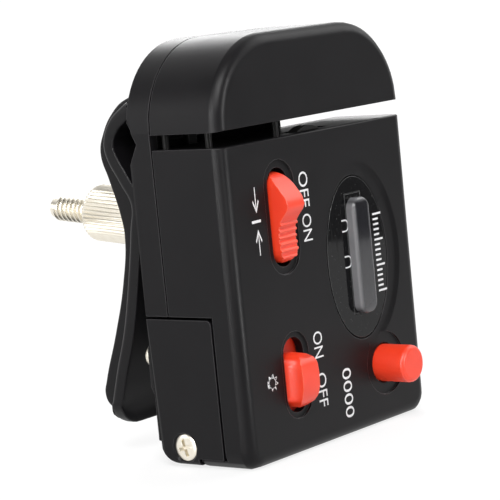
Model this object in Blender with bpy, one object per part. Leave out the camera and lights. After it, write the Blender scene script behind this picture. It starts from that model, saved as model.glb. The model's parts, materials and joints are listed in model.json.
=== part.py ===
# Clip-on fishing line counter, in metres, +Z up.
# The front face looks toward -Y and the rod clamp stands behind, toward +Y.
# The origin lies on the underside of the body, at the middle of its width and depth.
import math

import bmesh
import bpy
from mathutils import Matrix, Vector

# Body
BODY_WIDTH = 0.052
BODY_DEPTH = 0.0203
BODY_HEIGHT = 0.0723
FRONT_SHELL_DEPTH = 0.0151
WALL = 0.002
EDGE_ROUND = 0.0013
EDGE_STEPS = 3
CORNER_RADIUS = 0.0055
HOOD_RADIUS = 0.015
LEAST_ROUND_SHARE = 0.2
ARC_STEPS = 9
SEAT_GAP = 0.0003
RUNNING_GAP = 0.00005
OVERRUN = 0.001
BASE_SINK = 0.0004

# Line slot, open to the front and left, and right through on the right of the neck
SLOT_FLOOR = 0.0544
SLOT_HEIGHT = 0.0026
SLOT_ROUND_SHARE = 0.2
NECK_RIGHT = 0.00975
REAR_STEP = 0.0006

# Groove across the back where the fishing rod lies
GROOVE_TOP = 0.0595
GROOVE_TIP = 0.0555
GROOVE_FOOT = 0.05175
GROOVE_DEPTH = 0.002
GROOVE_WALL = 0.0012

# Battery cover round the lower back, with its screws
COVER_TOP = 0.026
COVER_SIDE_FRONT = 0.00576
COVER_FLOOR_FRONT = 0.0115
COVER_STEP = 0.006
COVER_LIFT = 0.0005
COVER_CORNER_RADIUS = 0.001
COVER_HEEL_RADIUS = 0.005
SIDE_SCREW_Y = 0.0144
SIDE_SCREW_Z = 0.0035
SIDE_SCREW_HEAD = 0.00237
SIDE_SCREW_SHANK = 0.0011
SIDE_SCREW_LENGTH = 0.006
SIDE_SCREW_SINK = 0.0013
SCREW_BLOCK = 0.0028
CASE_POST_RADIUS = 0.0018
BOSS_X = 0.0218
BOSS_WIDTH = 0.0048
BOSS_LOW = 0.011
BOSS_HIGH = 0.022
BOSS_HEIGHT = 0.0019
REAR_SCREW_Z = 0.0185
REAR_SCREW_HEAD = 0.0021
REAR_SCREW_DOME = 0.0014
REAR_SCREW_SHANK = 0.001
REAR_SCREW_LENGTH = 0.005

# Reading window
WINDOW_X = 0.00935
WINDOW_Z = 0.0308
WINDOW_HALF_WIDTH = 0.0087
WINDOW_HALF_HEIGHT = 0.0144
DISH_X = 0.00895
DISH_Z = 0.0312
DISH_HALF_WIDTH = 0.0125
DISH_HALF_HEIGHT = 0.0169
DISH_DEPTH = 0.0005
DISH_SLOPE = 0.0007
PANEL_THICKNESS = 0.0007
LEDGE = 0.001
OVAL_POINTS = 40
LENS_Z = 0.0315
LENS_WIDTH = 0.0042
LENS_HEIGHT = 0.021
LENS_RISE = 0.0023
LENS_FLANGE = 0.0009
LENS_FLANGE_THICKNESS = 0.0004
LENS_STEPS = 8
# Rise of the lens toward its ends: place as a share of its height, share of the rise.
LENS_END_SHARES = ((0.0, 0.18), (0.014, 0.52), (0.04, 0.82), (0.09, 0.94), (0.25, 1.0))

# Line lock rocker
SWITCH_X = -0.0116
SWITCH_OPENING = 0.0056
ROCKER_Z = 0.041
ROCKER_OPENING_HALF = 0.0085
ROCKER_RIM = 0.00135
RIM_DEPTH = 0.0004
ROCKER_WIDTH = 0.0046
ROCKER_AXIS_DEPTH = 0.00275
ROCKER_PIN_RADIUS = 0.0008
ROCKER_PIN_LENGTH = 0.0088
ROCKER_HUB = 0.0018
ROCKER_REACH = 0.0078
ROCKER_PEAK = 0.0033
# Top face from the sunk upper end over the ridge to the lower end: height as a share of the
# reach above the axis, standing out as a share of the peak.
ROCKER_FACE_SHARES = (
    (1.00, -0.40), (0.86, 0.03), (0.68, 0.44), (0.44, 0.88), (0.26, 1.00), (0.15, 0.88),
    (0.06, 0.67), (-0.07, 0.42), (-0.22, 0.27), (-0.44, 0.21), (-0.67, 0.26), (-0.82, 0.27),
    (-0.94, 0.12), (-1.00, -0.20),
)
# Underside: height as a share of the reach, depth as a share of the hub.
ROCKER_BACK_SHARES = (
    (-1.00, -0.30), (-0.45, 0.60), (-0.20, 1.00), (0.20, 1.00), (0.45, 0.60), (1.00, -0.30),
)
ROCKER_RIBS = 6
ROCKER_RIB_FIRST_SHARE = -0.14
ROCKER_RIB_LAST_SHARE = -0.86
ROCKER_RIB_RISE = 0.0003
ROCKER_TAIL = 0.007
ROCKER_TAIL_RADIUS = 0.0008
ROCKER_TAIL_HALF = 0.00045
ROCKER_EAR = 0.0013

# Lock slider in the neck and the arm that carries the pinch roller
SLIDER_X = -0.0144
SLIDER_WIDTH = 0.002
SLIDER_FRONT = 0.0054
SLIDER_THICKNESS = 0.0012
JAW_DEPTH = 0.0018
JAW_PLAY = 0.0001
JAW_OVERHANG = 0.0011
JAW_THICKNESS = 0.0012
GUIDE_RIB_WIDTH = 0.0012
GUIDE_RIB_LOW = 0.0445
GUIDE_RIB_HIGH = 0.0496
ARM_PIVOT_X = -0.006
ARM_PIVOT_Z = 0.062
ARM_PIVOT_RADIUS = 0.001
ARM_PIVOT_BOSS = 0.0022
ARM_BACK = -0.0032
ARM_THICKNESS = 0.001
ARM_LINK_RADIUS = 0.0012
ARM_PIN_FRONT = -0.0084
ARM_PIN_HEAD = 0.0017
ARM_PIN_HEAD_THICKNESS = 0.0006
ARM_WINDOW_LEFT = -0.0036
ARM_PEG_RADIUS = 0.0008
ARM_PEG_BACK = 0.0067

# Measuring wheel and pinch roller, their axes along Y
WHEEL_X = 0.00215
WHEEL_RADIUS = 0.0065
WHEEL_STAND = 0.0008
WHEEL_FRONT = -0.0068
WHEEL_THICKNESS = 0.002
TYRE = 0.0012
WHEEL_SHAFT_RADIUS = 0.00075
WHEEL_SHAFT_FRONT = -0.0088
WHEEL_BOSS = 0.002
WHEEL_WINDOW_SPARE = 0.0004
ROLLER_RADIUS = 0.003
ROLLER_REST_Z = 0.06026
ROLLER_AXLE_RADIUS = 0.0006
ROLLER_AXLE_FRONT = -0.0073
ROLLER_AXLE_HEAD = 0.001
ROLLER_AXLE_HEAD_THICKNESS = 0.0005
ROLLER_WINDOW_SPARE = 0.001

# Line guide pins that bridge the slot, as places across and from the front
GUIDE_PIN_RADIUS = 0.0006
GUIDE_PIN_SINK = 0.001
GUIDE_PIN_LEFT_X = -0.0243
GUIDE_PIN_INNER_X = -0.009
GUIDE_PIN_FRONT_Y = 0.0038
GUIDE_PIN_REAR_Y = 0.0132
GUIDE_PIN_INNER_Y = 0.0018

# Counter: number wheels on an upright shaft in a frame
COUNTER_X = 0.00935
COUNTER_Y = -0.0022
NUMBER_WHEEL_RADIUS = 0.0056
NUMBER_WHEEL_HEIGHT = 0.0059
NUMBER_WHEEL_GAP = 0.00035
SHAFT_END = 0.0004
COUNTER_LOW = 0.0206
COUNTER_SHAFT_RADIUS = 0.001
FRAME_LEFT = -0.0032
FRAME_RIGHT = 0.0195
FRAME_BACK = 0.0047
FRAME_THICKNESS = 0.0009
FRAME_SHELF = 0.0012
SHELF_FRONT = -0.0044
SHELF_HALF = 0.0046
FRAME_HEAD_GAP = 0.0003
POST_RADIUS = 0.0016
POST_HIGH_Z = 0.047
POST_LOW_Z = 0.0225
POST_RIGHT_X = 0.0179
POST_LEFT_X = -0.0012
FRAME_SCREW_SHANK = 0.0005
FRAME_SCREW_LENGTH = 0.004
FRAME_SCREW_HEAD = 0.001
FRAME_SCREW_HEAD_THICKNESS = 0.0005

# Gear train from the measuring wheel to the counter: a pair of spur gears behind the frame, then
# a worm and its wheel. Teeth are sized by their module, the pitch radius doubled over the count.
SPUR_MODULE = 0.0006
DRIVE_TEETH = 12
DRIVEN_TEETH = 14
SPUR_THICKNESS = 0.0012
WORM_MODULE = 0.0005
WORM_WHEEL_TEETH = 21
WORM_WHEEL_THICKNESS = 0.0014
WORM_PITCH_RADIUS = 0.00175
WORM_TIP_RADIUS = 0.00215
WORM_ROOT_RADIUS = 0.0012
WORM_LENGTH = 0.004
WORM_RINGS_PER_TURN = 8
WORM_POINTS = 12
WORM_SHAFT_RADIUS = 0.0005
WORM_BEARING_RADIUS = 0.0011
WORM_HUB_RADIUS = 0.0022
# Tooth from its root to its tip: distance past the pitch line as a share of the module, half
# thickness as a share of the pitch.
SPUR_TOOTH_SHARES = ((-1.05, 0.31), (0.0, 0.20), (0.75, 0.11))
WORM_WHEEL_TOOTH_SHARES = ((-1.05, 0.27), (0.0, 0.18), (0.70, 0.10))
# Half widths of the worm's thread at its tip and root as shares of a turn.
THREAD_TIP_SHARE = 0.09
THREAD_ROOT_SHARE = 0.22
BRIDGE_THICKNESS = 0.0007
BRIDGE_RADIUS = 0.0016
BRIDGE_FOOT_RADIUS = 0.0009
BRIDGE_FOOT_Z = 0.0452
BRIDGE_FOOT_LEFT_X = -0.0016
BRIDGE_FOOT_RIGHT_X = 0.0062
BRIDGE_SCREW_SHANK = 0.0004

# Light behind the window and the two cells that feed it
LAMP_X = 0.0006
LAMP_Z = 0.03
LAMP_RADIUS = 0.0015
LAMP_FLANGE = 0.0019
LAMP_FLANGE_THICKNESS = 0.0008
LAMP_FRONT = -0.0028
CELL_RADIUS = 0.0058
CELL_LENGTH = 0.0054
CELL_CAP_RADIUS = 0.0047
CELL_CAP_STEP = 0.0004
CELL_LEFT_X = -0.0102
CELL_RIGHT_X = 0.0022
CELL_Z = 0.012
TRAY_FLOOR = 0.0009
TRAY_RIM = 0.0009
TRAY_LOW = 0.0028
TRAY_BACK = 0.0073
CONTACT_THICKNESS = 0.0003
CONTACT_WIDTH = 0.005

# Light slide
LIGHT_LOW = 0.0073
LIGHT_HIGH = 0.0204
LIGHT_RIM = 0.001
LIGHT_KNOB_LOW = 0.0082
LIGHT_KNOB_HEIGHT = 0.0095
LIGHT_KNOB_RISE = 0.003
# Knob outline: height as a share of its length, standing out as a share of its rise.
LIGHT_KNOB_SHARES = (
    (0.00, 0.00), (0.03, 0.25), (0.10, 0.60), (0.21, 0.82), (0.37, 0.97), (0.60, 1.00),
    (0.79, 0.95), (0.90, 0.80), (0.97, 0.46), (1.00, 0.00),
)
LIGHT_PLATE_WIDTH = 0.008
LIGHT_PLATE_LOW = 0.0048
LIGHT_PLATE_HIGH = 0.0215
LIGHT_PLATE_THICKNESS = 0.001
LIGHT_KNOB_WIDTH = 0.0046
LIGHT_RAIL = 0.001
LIGHT_RAIL_HEIGHT = 0.0016

# Reset button
RESET_X = 0.01426
RESET_Z = 0.0108
RESET_RADIUS = 0.00335
RESET_RISE = 0.0061
RESET_ROUND = 0.0008
RESET_DISH = 0.00565
RESET_FLANGE = 0.0046
RESET_FLANGE_THICKNESS = 0.001
RESET_STEM = 0.0022
RESET_STEM_BACK = -0.0045

# Rod clamp: a stud tilted upward, an arm with an arch and two ribs, a washer and a thumb nut
CLAMP_X = -0.008
STUD_Z = 0.0393
STUD_TILT = math.radians(5.5)
STUD_RADIUS = 0.0024
STUD_OUT = 0.0359
STUD_IN = 0.0079
STUD_HEAD = 0.0036
STUD_HEAD_THICKNESS = 0.0012
STUD_BOSS = 0.0042
STUD_BOSS_FRONT = 0.003
STUD_END_CHAMFER = 0.0005
CLAMP_WIDTH = 0.032
CLAMP_THICKNESS = 0.0028
CLAMP_SPAN = 0.0548
CLAMP_BOTTOM = 0.0064
CLAMP_REACH = 0.0095
# Middle line of the arm, from the tip of the arch over the pinch to the foot of the handle:
# distance behind the pinch as a share of the reach, height as a share of the span.
CLAMP_LINE_SHARES = (
    (-0.079, 1.000), (0.049, 0.989), (0.357, 0.953), (0.509, 0.900), (0.494, 0.868),
    (0.236, 0.786), (0.000, 0.710), (0.076, 0.619), (0.280, 0.444), (0.499, 0.296),
    (0.831, 0.136), (0.997, 0.038), (0.979, 0.000),
)
# Crest of the ribs, in the same shares, from the arch down to the handle.
CLAMP_RIB_SHARES = (
    (0.500, 0.905), (0.840, 0.893), (0.875, 0.868), (0.734, 0.786), (0.605, 0.716), (0.534, 0.668),
    (0.486, 0.603), (0.655, 0.442), (0.975, 0.278), (1.331, 0.122), (1.400, 0.085),
    (1.340, 0.062), (0.990, 0.050),
)
CURVE_STEPS = 2
RIBBON_CLEAR_SHARE = 0.98
RIB_STEPS = 2
RIB_LOW_END = 0.0075
RIB_HIGH_END = 0.055
CLAMP_RIB_INSET = 0.0022
CLAMP_RIB_WIDTH = 0.002
CLAMP_HUB_LOW = 0.0335
CLAMP_HUB_HIGH = 0.0465
CLAMP_SEAT = 0.009
CLAMP_SEAT_RADIUS = 0.0058
CLAMP_BORE = 0.0026
CLAMP_EDGE = 0.0005
WASHER_RADIUS = 0.0055
WASHER_THICKNESS = 0.0008
NUT_RADIUS = 0.0052
NUT_END_RADIUS = 0.0036
NUT_LENGTH = 0.015
NUT_CHAMFER = 0.002

ROUND_POINTS = 28
SMALL_POINTS = 12
SMALL_ARC = 4
DIGITS = 10

FRONT = -BODY_DEPTH / 2
REAR = BODY_DEPTH / 2
HALF_WIDTH = BODY_WIDTH / 2
SEAM = FRONT + FRONT_SHELL_DEPTH
SEAM_FRONT = SEAM - SEAT_GAP / 2
SEAM_REAR = SEAM + SEAT_GAP / 2
INSIDE_FRONT = FRONT + WALL
INSIDE_REAR = REAR - WALL
SLOT_TOP = SLOT_FLOOR + SLOT_HEIGHT
HOOD_CENTRE_X = HALF_WIDTH - HOOD_RADIUS
HOOD_CENTRE_Z = BODY_HEIGHT - HOOD_RADIUS
COVER_SIDE_Y = FRONT + COVER_SIDE_FRONT
COVER_FLOOR_Y = FRONT + COVER_FLOOR_FRONT
COVER_ROOF = COVER_TOP - SEAT_GAP / 2
ROCKER_AXIS_Y = FRONT + ROCKER_AXIS_DEPTH
PANEL_FRONT = FRONT + DISH_DEPTH
PANEL_BACK = PANEL_FRONT + PANEL_THICKNESS
POCKET_FLOOR = PANEL_BACK + SEAT_GAP
WHEEL_Z = SLOT_FLOOR + WHEEL_STAND - WHEEL_RADIUS
WHEEL_BACK = WHEEL_FRONT + WHEEL_THICKNESS
ARM_FRONT = ARM_BACK - ARM_THICKNESS
SLIDER_BACK = SLIDER_FRONT + SLIDER_THICKNESS
SIDE_SCREW_DEPTH_Y = FRONT + SIDE_SCREW_Y
FRAME_FRONT = FRAME_BACK - FRAME_THICKNESS
FRAME_LOW = COUNTER_LOW - SEAT_GAP - FRAME_SHELF
FRAME_HIGH = SLOT_FLOOR - WALL - FRAME_HEAD_GAP
COUNTER_HIGH = COUNTER_LOW + 3 * NUMBER_WHEEL_HEIGHT + 2 * NUMBER_WHEEL_GAP
DRIVE_RADIUS = SPUR_MODULE * DRIVE_TEETH / 2
DRIVEN_RADIUS = SPUR_MODULE * DRIVEN_TEETH / 2
WORM_WHEEL_RADIUS = WORM_MODULE * WORM_WHEEL_TEETH / 2
WORM_X = COUNTER_X - WORM_WHEEL_RADIUS - WORM_PITCH_RADIUS
WORM_Z = WHEEL_Z - math.sqrt((DRIVE_RADIUS + DRIVEN_RADIUS) ** 2 - (WORM_X - WHEEL_X) ** 2)
WORM_FRONT = COUNTER_Y - WORM_LENGTH / 2
WORM_WHEEL_LOW = WORM_Z - WORM_WHEEL_THICKNESS / 2
WORM_WHEEL_HIGH = WORM_Z + WORM_WHEEL_THICKNESS / 2
TOP_SHELF_LOW = WORM_WHEEL_HIGH + SEAT_GAP
SPUR_FRONT = FRAME_BACK + SEAT_GAP
SPUR_BACK = SPUR_FRONT + SPUR_THICKNESS
BRIDGE_FRONT = SPUR_BACK + SEAT_GAP
BRIDGE_BACK = BRIDGE_FRONT + BRIDGE_THICKNESS
CELL_BACK = TRAY_BACK - RUNNING_GAP
TRAY_FRONT = CELL_BACK - CELL_LENGTH - CELL_CAP_STEP - TRAY_FLOOR
PINCH_LINE = REAR + SEAT_GAP + CLAMP_THICKNESS / 2
STUD_DIRECTION = Vector((0, math.cos(STUD_TILT), math.sin(STUD_TILT)))
STUD_FOOT = Vector((CLAMP_X, REAR, STUD_Z))
STUD_TURN = (STUD_TILT - math.pi / 2, 0, 0)


def clear_scene():
    for item in list(bpy.data.objects):
        bpy.data.objects.remove(item, do_unlink=True)


def make_material(name, colour, roughness, metallic=0.0):
    material = bpy.data.materials.new(name)
    material.use_nodes = True
    material.diffuse_color = (*colour, 1.0)
    shader = material.node_tree.nodes["Principled BSDF"]
    shader.inputs["Base Color"].default_value = (*colour, 1.0)
    shader.inputs["Roughness"].default_value = roughness
    shader.inputs["Metallic"].default_value = metallic
    return material


# Outlines are lists of (across, up) pairs that run counter-clockwise.
def arc(centre, radius, start, end, steps=ARC_STEPS):
    points = []
    for step in range(steps + 1):
        angle = math.radians(start + (end - start) * step / steps)
        points.append((centre[0] + radius * math.cos(angle), centre[1] + radius * math.sin(angle)))
    return points


def oval(centre, half_width, half_height, count=OVAL_POINTS):
    points = []
    for index in range(count):
        angle = 2 * math.pi * index / count
        points.append((centre[0] + half_width * math.cos(angle),
                       centre[1] + half_height * math.sin(angle)))
    return points


def circle(centre, radius, count=ROUND_POINTS):
    return oval(centre, radius, radius, count)


def stadium(left, right, low, high, steps=ARC_STEPS):
    """An upright outline with two half round ends."""
    radius = (right - left) / 2
    middle = (left + right) / 2
    points = arc((middle, high - radius), radius, 0, 180, steps)
    points += arc((middle, low + radius), radius, 180, 360, steps)
    return points


def link(first, second, radius, steps=ARC_STEPS):
    """A bar with round ends between two places."""
    along = math.degrees(math.atan2(second[1] - first[1], second[0] - first[0]))
    points = arc(second, radius, along - 90, along + 90, steps)
    points += arc(first, radius, along + 90, along + 270, steps)
    return points


def rectangle(left, right, low, high):
    return [(left, low), (right, low), (right, high), (left, high)]


def smooth(points, steps=CURVE_STEPS):
    """A smooth curve through the points, with more points between them."""
    curve = []
    last = len(points) - 1
    for index in range(last):
        p0, p1, p2, p3 = (Vector(points[min(max(index + k, 0), last)]) for k in (-1, 0, 1, 2))
        for step in range(steps):
            t = step / steps
            curve.append(tuple(0.5 * (2 * p1 + (p2 - p0) * t
                                      + (2 * p0 - 5 * p1 + 4 * p2 - p3) * t ** 2
                                      + (3 * p1 - p0 - 3 * p2 + p3) * t ** 3)))
    curve.append(tuple(points[last]))
    return curve


def across_x(outline, x):
    return [Vector((x, point[0], point[1])) for point in outline]


def across_y(outline, y):
    return [Vector((point[0], y, point[1])) for point in outline]


def across_z(outline, z):
    return [Vector((point[0], point[1], z)) for point in outline]


# Solids
def loft(rings, capped=True):
    """One closed solid through rings of equal length, capped or joined end to end."""
    bm = bmesh.new()
    loops = [[bm.verts.new(point) for point in ring] for ring in rings]
    pairs = list(zip(loops, loops[1:]))
    if not capped:
        pairs.append((loops[-1], loops[0]))
    for lower, upper in pairs:
        for index, corner in enumerate(lower):
            following = (index + 1) % len(lower)
            bm.faces.new((corner, lower[following], upper[following], upper[index]))
    if capped:
        bm.faces.new(loops[0])
        bm.faces.new(loops[-1])
    bmesh.ops.recalc_face_normals(bm, faces=bm.faces)
    return bm


def prism_x(outline, left, right):
    return loft([across_x(outline, left), across_x(outline, right)])


def prism_y(outline, front, back):
    return loft([across_y(outline, front), across_y(outline, back)])


def prism_z(outline, low, high):
    return loft([across_z(outline, low), across_z(outline, high)])


def box(left, right, front, back, low, high):
    return prism_y(rectangle(left, right, low, high), front, back)


def turned(profile, count=ROUND_POINTS, bored=False):
    """A turned solid about local Z from (radius, height) pairs; a bored one closes on itself."""
    rings = [across_z(circle((0, 0), radius, count), height) for radius, height in profile]
    return loft(rings, capped=not bored)


def bored(outer, inner, low, high):
    """A plain ring or tube profile."""
    return [(inner, low), (outer, low), (outer, high), (inner, high)]


def place(bm, x, y, z, axis="Z"):
    """Stands a turned solid at a place, with its height along the named axis."""
    turns = {
        "X": Matrix.Rotation(math.pi / 2, 4, "Y"),
        "Y": Matrix.Rotation(-math.pi / 2, 4, "X"),
        "Z": Matrix.Identity(4),
        "STUD": Matrix.Rotation(STUD_TURN[0], 4, "X"),
    }
    bmesh.ops.transform(bm, matrix=Matrix.Translation((x, y, z)) @ turns[axis], verts=bm.verts)
    return bm


def solid(name, bm, material=None, smooth_angle=30):
    mesh = bpy.data.meshes.new(name)
    bm.to_mesh(mesh)
    bm.free()
    item = bpy.data.objects.new(name, mesh)
    bpy.context.collection.objects.link(item)
    if material:
        mesh.materials.append(material)
    mesh.shade_smooth()
    mesh.set_sharp_from_angle(angle=math.radians(smooth_angle))
    return item


def combine(item, bm, operation):
    """Applies one Boolean with a helper solid, which is then deleted."""
    tool = solid("helper", bm)
    modifier = item.modifiers.new(operation, "BOOLEAN")
    modifier.operation = operation
    modifier.object = tool
    evaluated = item.evaluated_get(bpy.context.evaluated_depsgraph_get())
    mesh = bpy.data.meshes.new_from_object(evaluated)
    item.modifiers.clear()
    old = item.data
    item.data = mesh
    bpy.data.meshes.remove(old)
    mesh.name = item.name
    tool_mesh = tool.data
    bpy.data.objects.remove(tool, do_unlink=True)
    bpy.data.meshes.remove(tool_mesh)


def cut(item, *tools):
    for bm in tools:
        combine(item, bm, "DIFFERENCE")


def join(item, *tools):
    for bm in tools:
        combine(item, bm, "UNION")


def keep(item, bm):
    combine(item, bm, "INTERSECT")


def put_origin(item, *point):
    """Moves the object's origin to its joint without moving its shape."""
    item.data.transform(Matrix.Translation(-Vector(point)))
    item.location = point


# Outlines of the body, drawn in by a distance, and by another along the slot
def lower_outline(low, high, corner, drawn_in, slot_in):
    """The lower body from the front: round corners below, square above."""
    half = HALF_WIDTH - drawn_in
    radius = max(corner - drawn_in, corner * LEAST_ROUND_SHARE)
    across = half - radius
    up = low + drawn_in + radius
    points = [(half, high - slot_in), (-half, high - slot_in)]
    points += arc((-across, up), radius, 180, 270)
    points += arc((across, up), radius, 270, 360)
    return points


def front_outline(drawn_in, slot_in):
    return lower_outline(0, SLOT_FLOOR, CORNER_RADIUS, drawn_in, slot_in)


def cover_outline(drawn_in, slot_in):
    return lower_outline(COVER_LIFT, COVER_ROOF, COVER_CORNER_RADIUS, drawn_in, slot_in)


def hood_arcs(drawn_in, low, start_left):
    """Both shoulders, from where the right one leaves the slot to an angle on the left one."""
    radius = HOOD_RADIUS - drawn_in
    start = math.degrees(math.asin(max(low - HOOD_CENTRE_Z, 0) / radius))
    corner = HOOD_CENTRE_X if start else HOOD_CENTRE_X + radius
    left_end = 180 - start if start_left else 180
    points = [(corner, low)]
    points += arc((HOOD_CENTRE_X, HOOD_CENTRE_Z), radius, start, 90)
    points += arc((-HOOD_CENTRE_X, HOOD_CENTRE_Z), radius, 90, left_end)
    return points


def hood_outline(drawn_in, slot_in):
    """The hood from the front: flat along the slot, round shoulders above."""
    points = hood_arcs(drawn_in, SLOT_TOP + slot_in, True)
    points.append((-points[0][0], points[0][1]))
    return points


def back_outline(drawn_in, slot_in):
    """The rear shell: lower body, neck beside the open end of the slot, and hood."""
    low = COVER_TOP + SEAT_GAP / 2 + drawn_in
    half = HALF_WIDTH - drawn_in
    sill = SLOT_FLOOR - REAR_STEP - slot_in
    neck = NECK_RIGHT - slot_in
    roof = SLOT_TOP + slot_in
    points = [(-half, low), (half, low), (half, sill), (neck, sill), (neck, roof)]
    return points + hood_arcs(drawn_in, roof, False)


def shell(outline, face, rim, toward):
    """A tray whose floor is at the face and whose open rim is at the seam."""
    inner = outline(WALL, WALL)
    rings = [across_y(inner, face + toward * WALL), across_y(inner, rim), across_y(outline(0, 0), rim)]
    for step in range(EDGE_STEPS + 1):
        turn = math.pi / 2 * step / EDGE_STEPS
        drawn_in = EDGE_ROUND * (1 - math.cos(turn))
        ring = outline(drawn_in, drawn_in * SLOT_ROUND_SHARE)
        rings.append(across_y(ring, face + toward * EDGE_ROUND * (1 - math.sin(turn))))
    return loft(rings)


# Body
def frame_screw_places():
    return (
        ("frame_screw_top", POST_RIGHT_X, POST_HIGH_Z),
        ("frame_screw_right", POST_RIGHT_X, POST_LOW_Z),
        ("frame_screw_left", POST_LEFT_X, POST_LOW_Z),
    )


def bridge_feet():
    return ((BRIDGE_FOOT_LEFT_X, BRIDGE_FOOT_Z), (BRIDGE_FOOT_RIGHT_X, BRIDGE_FOOT_Z))


def add_screw_blocks(item):
    """Blocks on the floor of the front shell that take the side screws of the cover."""
    back = SIDE_SCREW_DEPTH_Y + SCREW_BLOCK
    front = COVER_FLOOR_Y - SCREW_BLOCK
    for side in (-1, 1):
        outer = side * (HALF_WIDTH - WALL - SEAT_GAP)
        inner = outer - side * SIDE_SCREW_LENGTH
        left, right = min(outer, inner), max(outer, inner)
        join(item, box(left, right, front, back, COVER_LIFT + WALL + SEAT_GAP,
                       SIDE_SCREW_Z + SCREW_BLOCK))
    hole = SIDE_SCREW_SHANK + RUNNING_GAP
    reach = HALF_WIDTH + OVERRUN
    cut(item, prism_x(circle((SIDE_SCREW_DEPTH_Y, SIDE_SCREW_Z), hole, SMALL_POINTS), -reach, reach))


def add_front_posts(item):
    """Posts behind the front wall: for the rear case screws and for the counter frame."""
    root = INSIDE_FRONT - BASE_SINK
    for side in (-1, 1):
        x = side * BOSS_X
        join(item, prism_y(circle((x, REAR_SCREW_Z), CASE_POST_RADIUS, SMALL_POINTS),
                           root, INSIDE_REAR - SEAT_GAP))
        cut(item, prism_y(circle((x, REAR_SCREW_Z), REAR_SCREW_SHANK + RUNNING_GAP, SMALL_POINTS),
                          SEAM - REAR_SCREW_LENGTH, REAR))
    for _, x, z in frame_screw_places():
        join(item, prism_y(circle((x, z), POST_RADIUS, SMALL_POINTS), root, FRAME_FRONT - SEAT_GAP))
        cut(item, prism_y(circle((x, z), FRAME_SCREW_SHANK + RUNNING_GAP, SMALL_POINTS),
                          FRAME_BACK - FRAME_SCREW_LENGTH - SEAT_GAP, FRAME_FRONT))
    wheel = (WHEEL_X, WHEEL_Z)
    worm = (WORM_X, WORM_Z)
    join(item,
         prism_y(circle(wheel, WHEEL_BOSS, SMALL_POINTS), root, WHEEL_FRONT - SEAT_GAP),
         prism_y(circle(worm, WORM_BEARING_RADIUS, SMALL_POINTS), root, WORM_FRONT - SEAT_GAP))
    cut(item,
        prism_y(circle(wheel, WHEEL_SHAFT_RADIUS + RUNNING_GAP, SMALL_POINTS),
                WHEEL_SHAFT_FRONT - SEAT_GAP, WHEEL_FRONT),
        prism_y(circle(worm, WORM_SHAFT_RADIUS + RUNNING_GAP, SMALL_POINTS),
                INSIDE_FRONT + BASE_SINK, WORM_FRONT))


def cut_switch_opening(item, low, high, rim):
    left = SWITCH_X - SWITCH_OPENING / 2
    right = SWITCH_X + SWITCH_OPENING / 2
    cut(item,
        prism_y(stadium(left - rim, right + rim, low - rim, high + rim), FRONT - OVERRUN,
                FRONT + RIM_DEPTH),
        prism_y(stadium(left, right, low, high), FRONT - OVERRUN, INSIDE_FRONT + OVERRUN))


def add_rocker_ears(item):
    """Two ears behind the rocker's opening carry its pin."""
    for side in (-1, 1):
        inner = SWITCH_X + side * SWITCH_OPENING / 2
        outer = inner + side * ROCKER_EAR
        join(item, box(min(inner, outer), max(inner, outer), INSIDE_FRONT - BASE_SINK,
                       ROCKER_AXIS_Y + ROCKER_HUB, ROCKER_Z - ROCKER_HUB, ROCKER_Z + ROCKER_HUB))
    hole = circle((ROCKER_AXIS_Y, ROCKER_Z), ROCKER_PIN_RADIUS + RUNNING_GAP, SMALL_POINTS)
    cut(item, prism_x(hole, SWITCH_X - ROCKER_PIN_LENGTH, SWITCH_X + ROCKER_PIN_LENGTH))


def add_light_rails(item):
    for side in (-1, 1):
        inner = SWITCH_X + side * (LIGHT_PLATE_WIDTH / 2 + SEAT_GAP)
        outer = inner + side * LIGHT_RAIL
        join(item, box(min(inner, outer), max(inner, outer), INSIDE_FRONT - BASE_SINK,
                       INSIDE_FRONT + LIGHT_RAIL_HEIGHT, LIGHT_PLATE_LOW, LIGHT_PLATE_HIGH))


def guide_pin_places():
    return (
        ("guide_pin_front", GUIDE_PIN_LEFT_X, FRONT + GUIDE_PIN_FRONT_Y),
        ("guide_pin_rear", GUIDE_PIN_LEFT_X, FRONT + GUIDE_PIN_REAR_Y),
        ("guide_pin_inner", GUIDE_PIN_INNER_X, FRONT + GUIDE_PIN_INNER_Y),
    )


def cut_guide_pin_holes(item, low, high):
    for _, x, y in guide_pin_places():
        hole = circle((x, y), GUIDE_PIN_RADIUS + RUNNING_GAP, SMALL_POINTS)
        cut(item, prism_z(hole, low, high))


def wheel_half_chord():
    rise = SLOT_FLOOR - WALL - WHEEL_Z
    return math.sqrt(WHEEL_RADIUS ** 2 - rise ** 2)


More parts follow.
